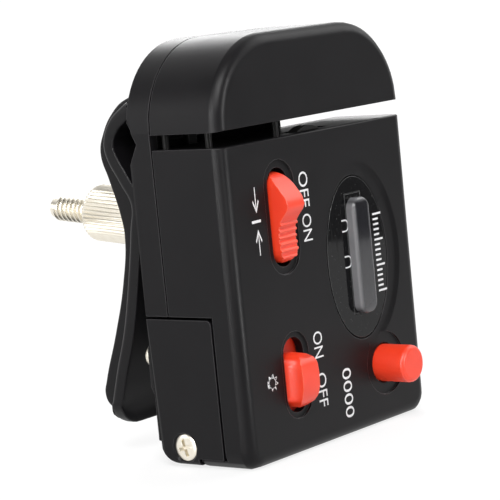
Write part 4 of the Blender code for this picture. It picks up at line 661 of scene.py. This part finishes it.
def letters(words):
    """A flat bmesh of some letters, one unit wide and high, centred."""
    curve = bpy.data.curves.new("letters", "FONT")
    curve.body = words
    curve.resolution_u = 4
    flat = drawn(curve)
    low = Vector([min(vert.co[axis] for vert in flat.verts) for axis in range(2)])
    high = Vector([max(vert.co[axis] for vert in flat.verts) for axis in range(2)])
    bmesh.ops.translate(flat, verts=flat.verts, vec=(-(low + high) / 2).to_3d())
    bmesh.ops.scale(flat, verts=flat.verts, vec=(1 / (high.x - low.x), 1 / (high.y - low.y), 1))
    return flat


print("letters ready")

# %% [markdown]
# Each mark has its box on the front: its left and right side, its top and its bottom. The two arches
# beside the magnifying bar lie on the window, which is set back by half a millimetre.

# %% Marks along the front
ink_height, window_depth = 0.03, 0.5
downward = Matrix(((0, 1, 0), (0, 0, -1), (-1, 0, 0))).to_4x4()


def printed(name, words, left, right_side, top, bottom, depth=0.0):
    """Print on the front in a box from left to right and from top to bottom, in mm."""
    flat = letters(words)
    bmesh.ops.scale(flat, verts=flat.verts, vec=((top - bottom) * MM, (right_side - left) * MM, 1))
    middle = Vector(((left + right_side) / 2, front + depth - ink_height, (top + bottom) / 2)) * MM
    bmesh.ops.transform(flat, matrix=Matrix.Translation(middle) @ downward, verts=flat.verts)
    return piece(name, flat, white_ink, "body")


marks = {
    "mark_lock_off": ("OFF", -6.2, -3.7, 47.9, 41.8),
    "mark_lock_on": ("ON", -6.2, -3.7, 40.6, 35.9),
    "mark_light_on": ("ON", -6.3, -3.8, 20.1, 15.5),
    "mark_light_off": ("OFF", -6.2, -3.7, 12.8, 6.9),
    "mark_lock_sign": ("→|←", -19.8, -17.4, 47.0, 35.5),
    "mark_light_sign": ("☀", -20.0, -17.0, 15.3, 12.3),
    "mark_reset_sign": ("0000", 1.0, 3.5, 12.2, 3.4),
    "mark_index_high": ("∩", 5.5, 7.4, 37.9, 35.7, window_depth),
    "mark_index_low": ("∩", 5.5, 7.4, 31.5, 29.3, window_depth),
}
for name, (words, *box) in marks.items():
    printed(name, words, *box)
print("marks:", len(marks))

# %% [markdown]
# Beside the magnifying bar there is a scale of plain ticks. Each tick is a small rectangle from one
# grid, and every fifth one is longer.

# %% Scale beside the bar
tick_count, tick_left, top_tick, tick_step, tick_width = 16, 14.8, 37.6, 0.92, 0.36
long_tick, short_tick = 2.5, 1.6
scale = bmesh.new()
for tick in range(tick_count):
    length = long_tick if tick % 5 == 0 else short_tick
    middle = Vector((tick_left + length / 2, front + window_depth - ink_height, top_tick - tick_step * tick))
    spot = Matrix.Translation(middle * MM) @ Matrix.Rotation(math.pi / 2, 4, "X")
    square = bmesh.ops.create_grid(scale, x_segments=1, y_segments=1, size=0.5)["verts"]
    bmesh.ops.scale(scale, verts=square, vec=(length * MM, tick_width * MM, 1))
    bmesh.ops.transform(scale, verts=square, matrix=spot)
piece("mark_scale", scale, white_ink, "body")
print("ticks:", tick_count)

# %% [markdown]
# ## The magnifying bar
# The bar is a moulded block: a cube whose corners seen from the front are rounded first, and whose rim
# toward the front is then rounded a little less, so that a bright line runs round its face. A dark block
# behind it closes the window's slot as painted shade, because the photograph shows only dark through the
# bar.

# %% Magnifying bar
bar_front, bar_back, bar_corner, bar_rim = -11.3, -8.5, 2.0, 0.55
bar = block((bar_x - bar_half_width, bar_front, bar_z - bar_half_height),
            (bar_x + bar_half_width, bar_back, bar_z + bar_half_height))
along = [edge for edge in bar.edges if abs((edge.verts[0].co - edge.verts[1].co).y) > MM]
rounded_off(bar, along, bar_corner, 8)
rim = [edge for edge in bar.edges if all(vert.co.y < (bar_front + 0.1) * MM for vert in edge.verts)]
rounded_off(bar, rim, bar_rim, 6)
# Painted shade: a dark block where the slot behind the bar lies in shade.
shade_block_from, shade_block_to = (7.05, -9.63, 20.8), (11.65, -8.83, 42.2)
piece("shade_block_behind_bar", block(shade_block_from, shade_block_to), gloss_black, "body")
piece("magnifying_bar", outward(bar), clear_lens, body_of["lens_bar"], ["lens_bar"], 60)
print("bar height in mm:", 2 * bar_half_height)

# %% [markdown]
# ## The clamp's arm
# The arm is one moulding: a springy strip that arches over the rod, touches the body, and flares out
# into a handle, with a rib along each side of its back. A Bezier curve through a few measured places
# gives the strip its smooth line, as distances behind the body's middle and heights above the floor.

# %% A smooth curve as a mesh
def curve_mesh(places, half_breadth, closed=False, edge=0.0):
    """A smooth curve through places in mm as a bmesh: a sheet, or a filled solid where it is closed."""
    curve = bpy.data.curves.new("line", "CURVE")
    curve.dimensions = "2D" if closed else "3D"
    curve.fill_mode = "BOTH" if closed else "FULL"
    curve.resolution_u = 8
    curve.extrude = (half_breadth - edge) * MM
    curve.bevel_depth = edge * MM
    curve.bevel_resolution = 2
    spline = curve.splines.new("BEZIER")
    spline.use_cyclic_u = closed
    spline.bezier_points.add(len(places) - 1)
    for point, (out, height) in zip(spline.bezier_points, places):
        point.co = Vector((out, height, 0)) * MM
        point.handle_left_type = point.handle_right_type = "AUTO"
    return drawn(curve)


arm_line = [(10.9, 61.6), (12.4, 60.75), (15.24, 58.62), (16.69, 55.72), (16.54, 53.97), (14.09, 49.47),
            (11.85, 45.31), (12.57, 40.32), (14.51, 30.73), (16.59, 22.62), (19.74, 13.85), (21.2, 8.48),
            (21.3, 5.9)]
print("places along the arm:", len(arm_line))

# %% [markdown]
# Extruded sideways the curve is a sheet, which Solidify makes thick. The edges on the arm's back are
# rounded most, and those that face the body only a little. Both corners of the tip are then rounded
# by lifting their points onto a quarter of a circle.

# %% The strip
strip_half, strip_thickness, tip_corner, tip_top = 16, 2.8, 4.5, 10.4
corner_slack, sharp, broad_side, facing_back = 0.05, math.radians(60), 0.5, 0.3


def rims_of(shape, on_back):
    """The strip's sharp edges, either those on the arm's back or the others."""
    rims = []
    for edge in shape.edges:
        if len(edge.link_faces) == 2 and edge.calc_face_angle(0) > sharp:
            broad = [face for face in edge.link_faces if abs(face.normal.z) < broad_side]
            backward = max((face.normal.x for face in broad), default=0) > facing_back
            if backward == on_back:
                rims.append(edge)
    return rims


sheet = curve_mesh(arm_line, strip_half)
across = [edge for edge in sheet.edges if abs((edge.verts[0].co - edge.verts[1].co).z) > strip_half * MM]
bmesh.ops.subdivide_edges(sheet, edges=across, cuts=2 * strip_half - 1, use_grid_fill=True)
thicken = {"thickness": strip_thickness * MM, "offset": 0, "use_even_offset": True}
strip = outward(worked(outward(sheet), ("SOLIDIFY", thicken)))
for on_back, radius, steps in ((True, 1.2, 6), (False, 0.3, 3)):
    rounded_off(strip, rims_of(strip, on_back), radius, steps)
for vert in strip.verts:
    low = (tip_top - vert.co.y / MM) / tip_corner
    outer = abs(vert.co.z / MM) - (strip_half - tip_corner)
    if low > 0 and outer > 0:
        raised = 1 - math.sqrt(max(1 - (outer / (tip_corner + corner_slack)) ** 2, 0))
        vert.co.y += tip_corner * MM * low * raised
print("strip corners:", len(strip.verts))

# %% [markdown]
# Each rib fills the space between the strip's line and a crest of its own, and stiffens the handle as
# the flange of a beam does. The nut presses on a raised seat, and the stud passes through a bore.

# %% Ribs, the nut's seat, and the arm as one piece
rib_crest = [(11.7, 62.5), (13.4, 62.4), (16.9, 60.0), (19.0, 57.1), (20.1, 53.97), (18.82, 49.47),
             (17.6, 45.64), (16.92, 43.01), (16.47, 39.44), (18.07, 30.62), (21.11, 21.63),
             (24.49, 13.09), (25.0, 11.06), (24.3, 9.6), (21.8, 8.9)]
rib_low, rib_high = 9, 61
rib_foot = [place for place in reversed(arm_line) if rib_low < place[1] < rib_high]
rib_offset, rib_half, rib_edge = 12.8, 1.0, 0.7
bore_radius, seat_radius, seat_low, seat_high, seat_bevel = 2.6, 5.8, 1.5, 9.0, 0.4
bore_low, bore_high = -2, 12
sideways = Matrix(((0, 0, 1), (1, 0, 0), (0, 1, 0))).to_4x4()
ribs = [outward(curve_mesh(rib_crest + rib_foot, rib_half, True, rib_edge)) for side in range(2)]
for shape, middle in ((strip, clamp_x), (ribs[0], clamp_x - rib_offset), (ribs[1], clamp_x + rib_offset)):
    bmesh.ops.transform(shape, matrix=Matrix.Translation(Vector((middle, 0, 0)) * MM) @ sideways,
                        verts=shape.verts)
seat = lathe([(bore_radius, seat_low), (seat_radius, seat_low), (seat_radius, seat_high - seat_bevel),
              (seat_radius - seat_bevel, seat_high), (bore_radius, seat_high), (bore_radius, seat_low)])
bore = lathe([(0, bore_low), (bore_radius, bore_low), (bore_radius, bore_high), (0, bore_high)])
for shape in (seat, bore):
    bmesh.ops.transform(shape, matrix=standing(stud_foot, stud_axis), verts=shape.verts)
arm = together(carved(strip, bore), seat, *ribs)
piece("moulded_clamp_arm", arm, black_plastic, "clamp_arm",
      ["clamp_jaw", "clamp_hub", "clamp_handle", "clamp_rib_left", "clamp_rib_right"], 40)
print("ribs on the arm:", len(ribs))

# %% [markdown]
# ## Number wheels
# Three wheels carry the digits 0 to 9. A flat digit is bent round its wheel: how far up a point lies
# in the digit becomes an angle about the wheel's axis.

# %% Digits bent round the wheels
wheel_x, wheel_y, wheel_radius, wheel_half = 9.35, -2.2, 5.62, 2.95
digit_height, digit_width, one_width = 2.7, 2.0, 1.0
for node, low in (("units_wheel", 20.6), ("tens_wheel", 26.85), ("hundreds_wheel", 33.1)):
    ring = []
    for digit in range(10):
        flat = letters(str(digit))
        wide = one_width if digit == 1 else digit_width
        for vert in flat.verts:
            angle = math.tau * (digit / 10 - 0.25) + vert.co.y * digit_height / wheel_radius
            vert.co = Vector((wheel_x + wheel_radius * math.cos(angle),
                              wheel_y + wheel_radius * math.sin(angle),
                              low + wheel_half - vert.co.x * wide)) * MM
        ring.append(flat)
    piece(node + "_digits", together(*ring), white_ink, body_of[node])
print("digits: 30")

# %% [markdown]
# ## Closer to the real case
# The CAD case has one radius for all its rims and one for its lower corners. The photograph shows a
# broad soft rim round the front, a nearly sharp one round the back, and squarer lower corners at the
# front. The next cells move the CAD's own points to get there, and stay inside its box. First a
# function tells how deep a point lies inside the case's outline.

# %% Where a point lies in the case's outline
foot_radius, shoulder_radius = 5.5, 15.0
shoulder_x, shoulder_z = half_width - shoulder_radius, case_height - shoulder_radius
outline_arcs = ((half_width - foot_radius, foot_radius, foot_radius, -1),
                (shoulder_x, shoulder_z, shoulder_radius, 1))


def inset_of(point):
    """How deep a point in mm lies inside the case's outline seen from the front, and the way inwards."""
    side = math.copysign(1, point.x)
    for centre_x, centre_z, radius, upward in outline_arcs:
        away = Vector((abs(point.x) - centre_x, 0, point.z - centre_z))
        if away.x > 0 and away.z * upward > 0:
            return radius - away.length, Vector((-away.x * side, 0, -away.z)).normalized()
    flanks = [(half_width - abs(point.x), Vector((-side, 0, 0))),
              (point.z, Vector((0, 0, 1))), (case_height - point.z, Vector((0, 0, -1)))]
    return min(flanks, key=lambda flank: flank[0])


print("arcs in the outline:", 2 * len(outline_arcs))

# %% [markdown]
# A rim is a quarter of a circle between a flat face and the side. Its points are found by their depth
# and their inset, and both are scaled to the new radius. Where the slot and the foot cut through the
# rim at the back, a point keeps its depth, so that the cut faces stay flat.

# %% Rims of another radius
cad_rim, front_rim, back_rim = 1.3, 2.1, 0.3
depth_slack, inset_slack, arc_slack = 0.01, 0.02, 0.03
slot_low, slot_high, foot_top = 51.8, 59.45, 5.6


def new_rim(shape, plane, toward_back, new, old=cad_rim):
    """Gives the rim round a flat face at y = plane another radius, all in mm."""
    for vert in shape.verts:
        point = vert.co / MM
        deep = (point.y - plane) * toward_back
        inset, inwards = inset_of(point)
        if not (-depth_slack < deep < old + depth_slack and -inset_slack < inset < old + inset_slack):
            continue
        if abs(math.hypot(old - deep, old - inset) - old) > arc_slack:
            continue
        if toward_back < 0 and (slot_low < point.z < slot_high or point.z < foot_top):
            rise = new - min(deep, new)
            target = new - math.sqrt(max(new ** 2 - rise ** 2, 0))
            vert.co += inwards * (target - inset) * MM
        else:
            vert.co += inwards * inset * (new / old - 1) * MM
            vert.co.y = (plane + toward_back * deep * new / old) * MM


print("rims in mm:", front_rim, "at the front,", back_rim, "at the back")

# %% [markdown]
# At the lower corners each point moves outwards along the line from the old arc's centre, onto the
# straight side or, where that line meets it, onto the smaller arc.

# %% Squarer lower corners
front_foot_radius = 3.0


def squarer_corners(shape, old=foot_radius, new=front_foot_radius):
    """Turns the case's lower corners from one radius to a smaller one, in mm."""
    centre_x, flat = half_width - old, 1 - new / old
    for vert in shape.verts:
        wide, low = (abs(vert.co.x) / MM - centre_x) / old, (old - vert.co.z / MM) / old
        if wide > 0.001 and low > 0.001:
            slope = min(wide, low) / max(wide, low)
            if slope <= flat:
                scale = 1 / max(wide, low) * math.hypot(wide, low)
            else:
                ray = Vector((1, slope)).normalized()
                along = ray.dot(Vector((flat, flat)))
                scale = along + math.sqrt(along ** 2 - 2 * flat ** 2 + (1 - flat) ** 2)
            vert.co.x = math.copysign(centre_x + wide * scale * old, vert.co.x) * MM
            vert.co.z = (old - low * scale * old) * MM


print("lower corners in mm:", front_foot_radius)

# %% [markdown]
# The hood's shoulders are arcs of a large radius, and the CAD mesh draws them with rather few chords.
# Each chord is split once, and the new points are lifted onto the circle.

# %% Rounder shoulders
same_place, same_reach, least_reach, least_chord, same_point = 0.01, 0.02, 12, 0.8, 0.003


def rounder(shape):
    """Splits the chords of the shoulders' arcs, and tells how many there were."""
    lifts = {}
    for edge in shape.edges:
        first, second = (vert.co / MM for vert in edge.verts)
        side = math.copysign(shoulder_x, first.x)
        centre = Vector((side, first.y, shoulder_z))
        reaches = [(point - centre).xz.length for point in (first, second)]
        level_chord = abs(first.y - second.y) < same_place and abs(reaches[0] - reaches[1]) < same_reach
        long_enough = min(reaches) > least_reach and (first - second).length > least_chord
        outside = all(point.x / side > 1 and point.z > shoulder_z for point in (first, second))
        if level_chord and long_enough and (outside or abs(first.x - side) < same_place):
            middle = (first + second) / 2
            lifts[edge] = centre + (middle - centre) * (reaches[0] / (middle - centre).length)
    places = [((edge.verts[0].co + edge.verts[1].co) / 2, target * MM) for edge, target in lifts.items()]
    made = bmesh.ops.subdivide_edges(shape, edges=list(lifts), cuts=1, use_grid_fill=True)["geom_inner"]
    for vert in made:
        if isinstance(vert, bmesh.types.BMVert):
            for middle, target in places:
                if (vert.co - middle).length < same_point * MM:
                    vert.co = target
                    break
    return len(places)


print("shoulder radius in mm:", shoulder_radius)

# %% [markdown]
# The battery cover's side walls reach nearly down to the floor in the photograph, with a wide gap round
# them and a rounded corner at the top. The walls are drawn down and back, and the front shell is cut
# away to let them through.

# %% Longer walls for the battery cover
wall_inside, wall_top, wall_front, wall_step, wall_foot = 23.9, 25.8, -4.3, 6.3, 1.75
step_front, step_slack, wider_gap, cover_corner = 1.4, 0.05, 0.2, 0.9
room_low, room_high = (23.5, -4.69, 1.6), (27, 1.2, 6.4)
mirrored_low, mirrored_high = (-room_high[0], *room_low[1:]), (-room_low[0], *room_high[1:])


def longer_walls(shape):
    """Draws the cover's side walls down, widens the gap round them, and rounds their top corner."""
    for vert in shape.verts:
        beside = abs(vert.co.x) > wall_inside * MM
        if abs(vert.co.z / MM - wall_step) < step_slack and vert.co.y < step_front * MM:
            vert.co.z = wall_foot * MM
        if beside and vert.co.z > wall_top * MM:
            vert.co.z -= wider_gap * MM
        if beside and vert.co.y < wall_front * MM:
            vert.co.y += wider_gap * MM
    front_edge, top_edge = (wall_front + wider_gap) * MM, (wall_top - wider_gap - 0.1) * MM
    rounded_off(shape, [edge for edge in shape.edges if all(
        vert.co.y < front_edge and vert.co.z > top_edge for vert in edge.verts)], cover_corner, 5)


print("walls reach down to", wall_foot, "mm")

# %% [markdown]
# ## Dressing the rest
# A CAD mesh is cut into loose triangles, so its curved faces would show facets. Each remaining node gets
# a merged copy that shades smoothly, with a finish for its material slot. The record says which slot
# each node takes. The number wheels, the slider under the rocker and the guide pins are the exception:
# they are coloured black or dark as painted shade, because the photograph shows a dark inside.

# %% A finish for each node
finishes = {
    "black_plastic": black_plastic,
    "gloss_black": gloss_black,
    "clear_lens": clear_lens,
    "red_plastic": red_plastic,
    "white_plastic": white_plastic,
    "rubber": rubber,
    "nickel": nickel,
}
# Painted shade: these parts sit in the case's shaded inside, so they are coloured black or dark.
special = {name: black_plastic for name in ("units_wheel", "tens_wheel", "hundreds_wheel", "lock_slider")}
special.update({name: dark_steel for name in ("guide_pin_front", "guide_pin_rear", "guide_pin_inner")})
remade = (*screws, "clamp_stud", "thumb_nut", "lens_bar", "clamp_jaw", "clamp_hub", "clamp_handle",
          "clamp_rib_left", "clamp_rib_right")


def refined(node, mesh):
    """A merged copy of a node's mesh, with its corners and rims as the photograph shows them."""
    shape = bmesh.new()
    shape.from_mesh(mesh)
    bmesh.ops.remove_doubles(shape, verts=shape.verts, dist=double_distance)
    bmesh.ops.dissolve_limit(shape, angle_limit=math.radians(0.3), verts=shape.verts, edges=shape.edges)
    if node in ("hood_shell", "rear_shell"):
        print("chords rounded:", rounder(shape))
    if node in ("hood_shell", "front_shell"):
        new_rim(shape, front, 1, front_rim)
    if node in ("rear_shell", "battery_cover"):
        new_rim(shape, -front, -1, back_rim)
    if node == "front_shell":
        squarer_corners(shape)
        shape = carved(shape, block(mirrored_low, mirrored_high), block(room_low, room_high))
    if node == "battery_cover":
        longer_walls(shape)
    return shape


for part in frame["record"]["subparts"]:
    node, slot = part["node"], part["material_slot"]
    mesh = frame["nodes"][node].data
    look = special.get(node, finishes[slot])
    mesh.materials.clear()
    mesh.materials.append(look)
    if node not in remade:
        piece(node + "_smooth", refined(node, mesh), look, body_of[node], [node])

# %% [markdown]
# ## Floor
# The counter stands on a pale sweep. Black plastic is seen mostly by what it mirrors, so the floor ends
# a short way off on the side that the counter's front mirrors: the front's lower half shows the pale
# floor, and its upper half the darker room.

# %% Floor
floor_half, floor_drop, floor_end = 3.0, 0.02 * MM, 0.285
white_strength, floor_grey, floor_roughness = 1.06, 0.85, 0.7


def rays(wire, *kinds):
    """One for rays of these kinds, such as the camera's own, and zero for others."""
    path = wire.tree.nodes.new("ShaderNodeLightPath")
    seen = [Wire(wire.tree, path.outputs[kind]) for kind in kinds]
    total = seen[0]
    for ray in seen[1:]:
        total = wire.math("MAXIMUM", total, ray)
    return total


ground = bmesh.new()
bmesh.ops.create_grid(ground, x_segments=1, y_segments=1, size=floor_half)
bmesh.ops.translate(ground, verts=ground.verts, vec=(0, 0, cad_box[0][2] - floor_drop))
toward_right = Vector((0.774, -0.634, 0))
bmesh.ops.bisect_plane(ground, geom=ground.verts[:] + ground.edges[:] + ground.faces[:],
                       plane_co=toward_right * floor_end, plane_no=toward_right, clear_outer=True)
floor = linked("floor", mesh_of(ground, "floor"))
print("floor at", round(cad_box[0][2], 4))

# %% [markdown]
# The sweep's shader mixes plain grey, which catches shadows, with an even white glow for the camera and
# for shiny surfaces. The further a spot lies from the counter, the more it glows, until floor and
# backdrop can't be told apart.

# %% The sweep's shader
sweep = bpy.data.materials.new("white_sweep")
sweep.use_nodes = True
nodes = sweep.node_tree.nodes
wire = Wire(sweep.node_tree)
nodes["Principled BSDF"].inputs["Base Color"].default_value = (floor_grey, floor_grey, floor_grey, 1)
nodes["Principled BSDF"].inputs["Roughness"].default_value = floor_roughness
plain = Wire(sweep.node_tree, nodes["Principled BSDF"].outputs[0])
glow = wire.node("ShaderNodeEmission", None, {"Color": (1, 1, 1, 1), "Strength": white_strength})
spot = wire.node("ShaderNodeTexCoord", output="Object")
distance = wire.node("ShaderNodeVectorMath", {"operation": "LENGTH"}, {0: spot}, "Value")
share = ramp(wire, distance, (0.05, 0.74), (0.14, 0.84), (0.5, 1.0))
white_share = rays(wire, "Is Camera Ray", "Is Glossy Ray", "Is Transmission Ray") * share
mixed = wire.node("ShaderNodeMixShader", None, {0: white_share, 1: plain, 2: glow})
sweep.node_tree.links.new(mixed.socket, nodes["Material Output"].inputs["Surface"])
floor.data.materials.append(sweep)
print("nodes in the sweep:", len(nodes))

# %% [markdown]
# ## Backdrop
# The camera sees a pure white backdrop. The counter mirrors it only on the far side. Its light from the
# world is dim in front and at the sides, and bright behind it.

# %% World
world = bpy.data.worlds.new("studio")
bpy.context.scene.world = world
world.use_nodes = True
wire = Wire(world.node_tree)
direction = wire.node("ShaderNodeTexCoord", output="Generated")
behind = tuple(-Vector((back.x, back.y, -0.25)).normalized())
facing = wire.node("ShaderNodeVectorMath", {"operation": "DOT_PRODUCT"}, {0: direction, 1: behind}, "Value")
level_light = ramp(wire, facing * 0.5 + 0.5, (0.40, 0.16), (0.53, 0.07), (0.67, 0.17), (0.87, 1.0))
backdrop_side = ramp(wire, facing, (0.10, 0.0), (0.55, 1.0))
white_seen = wire.math("MAXIMUM", rays(wire, "Is Camera Ray"),
                       rays(wire, "Is Glossy Ray", "Is Transmission Ray") * backdrop_side)
shown = wire.math("MAXIMUM", level_light, white_seen * white_strength)
backdrop = world.node_tree.nodes["Background"]
world.node_tree.links.new(shown.socket, backdrop.inputs["Strength"])
backdrop.inputs["Color"].default_value = (1, 1, 1, 1)
print("nodes in the world:", len(world.node_tree.nodes))

# %% [markdown]
# ## Lamps
# Four soft square lamps stand round the counter, at a plain level. Two narrow strips close to it are
# seen only as reflections: they draw the thin lines of light along the rim at the front's left edge.

# %% Lamps and strips
def lamp(name, size, power, spot, target=(0, 0, 0.04)):
    """A square soft lamp at a spot, turned to a target."""
    light = bpy.data.lights.new(name, "AREA")
    light.size = size
    light.energy = power
    made = linked(name, light)
    facing_away = (Vector(spot) - Vector(target)).to_track_quat("Z", "Y").to_matrix().to_4x4()
    made.matrix_world = Matrix.Translation(spot) @ facing_away
    return made


lamp("key_lamp", 0.35, 4.9, (-0.42, -0.30, 0.52))
lamp("fill_lamp", 0.50, 2.0, (0.55, -0.30, 0.45))
lamp("rim_lamp", 0.30, 1.5, (0.46, 0.44, 0.34))
lamp("rear_lamp", 0.30, 0.7, (-0.42, 0.40, 0.20))
strip_width, strip_height, strip_power = 0.02, 0.24, 0.9
for name, spot in (("side_strip", (-0.33, -0.02, 0.10)), ("front_strip", (0.03, -0.33, 0.10))):
    strip_lamp = lamp(name, strip_width, strip_power, spot)
    strip_lamp.data.shape = "RECTANGLE"
    strip_lamp.data.size_y = strip_height
    strip_lamp.visible_diffuse = False
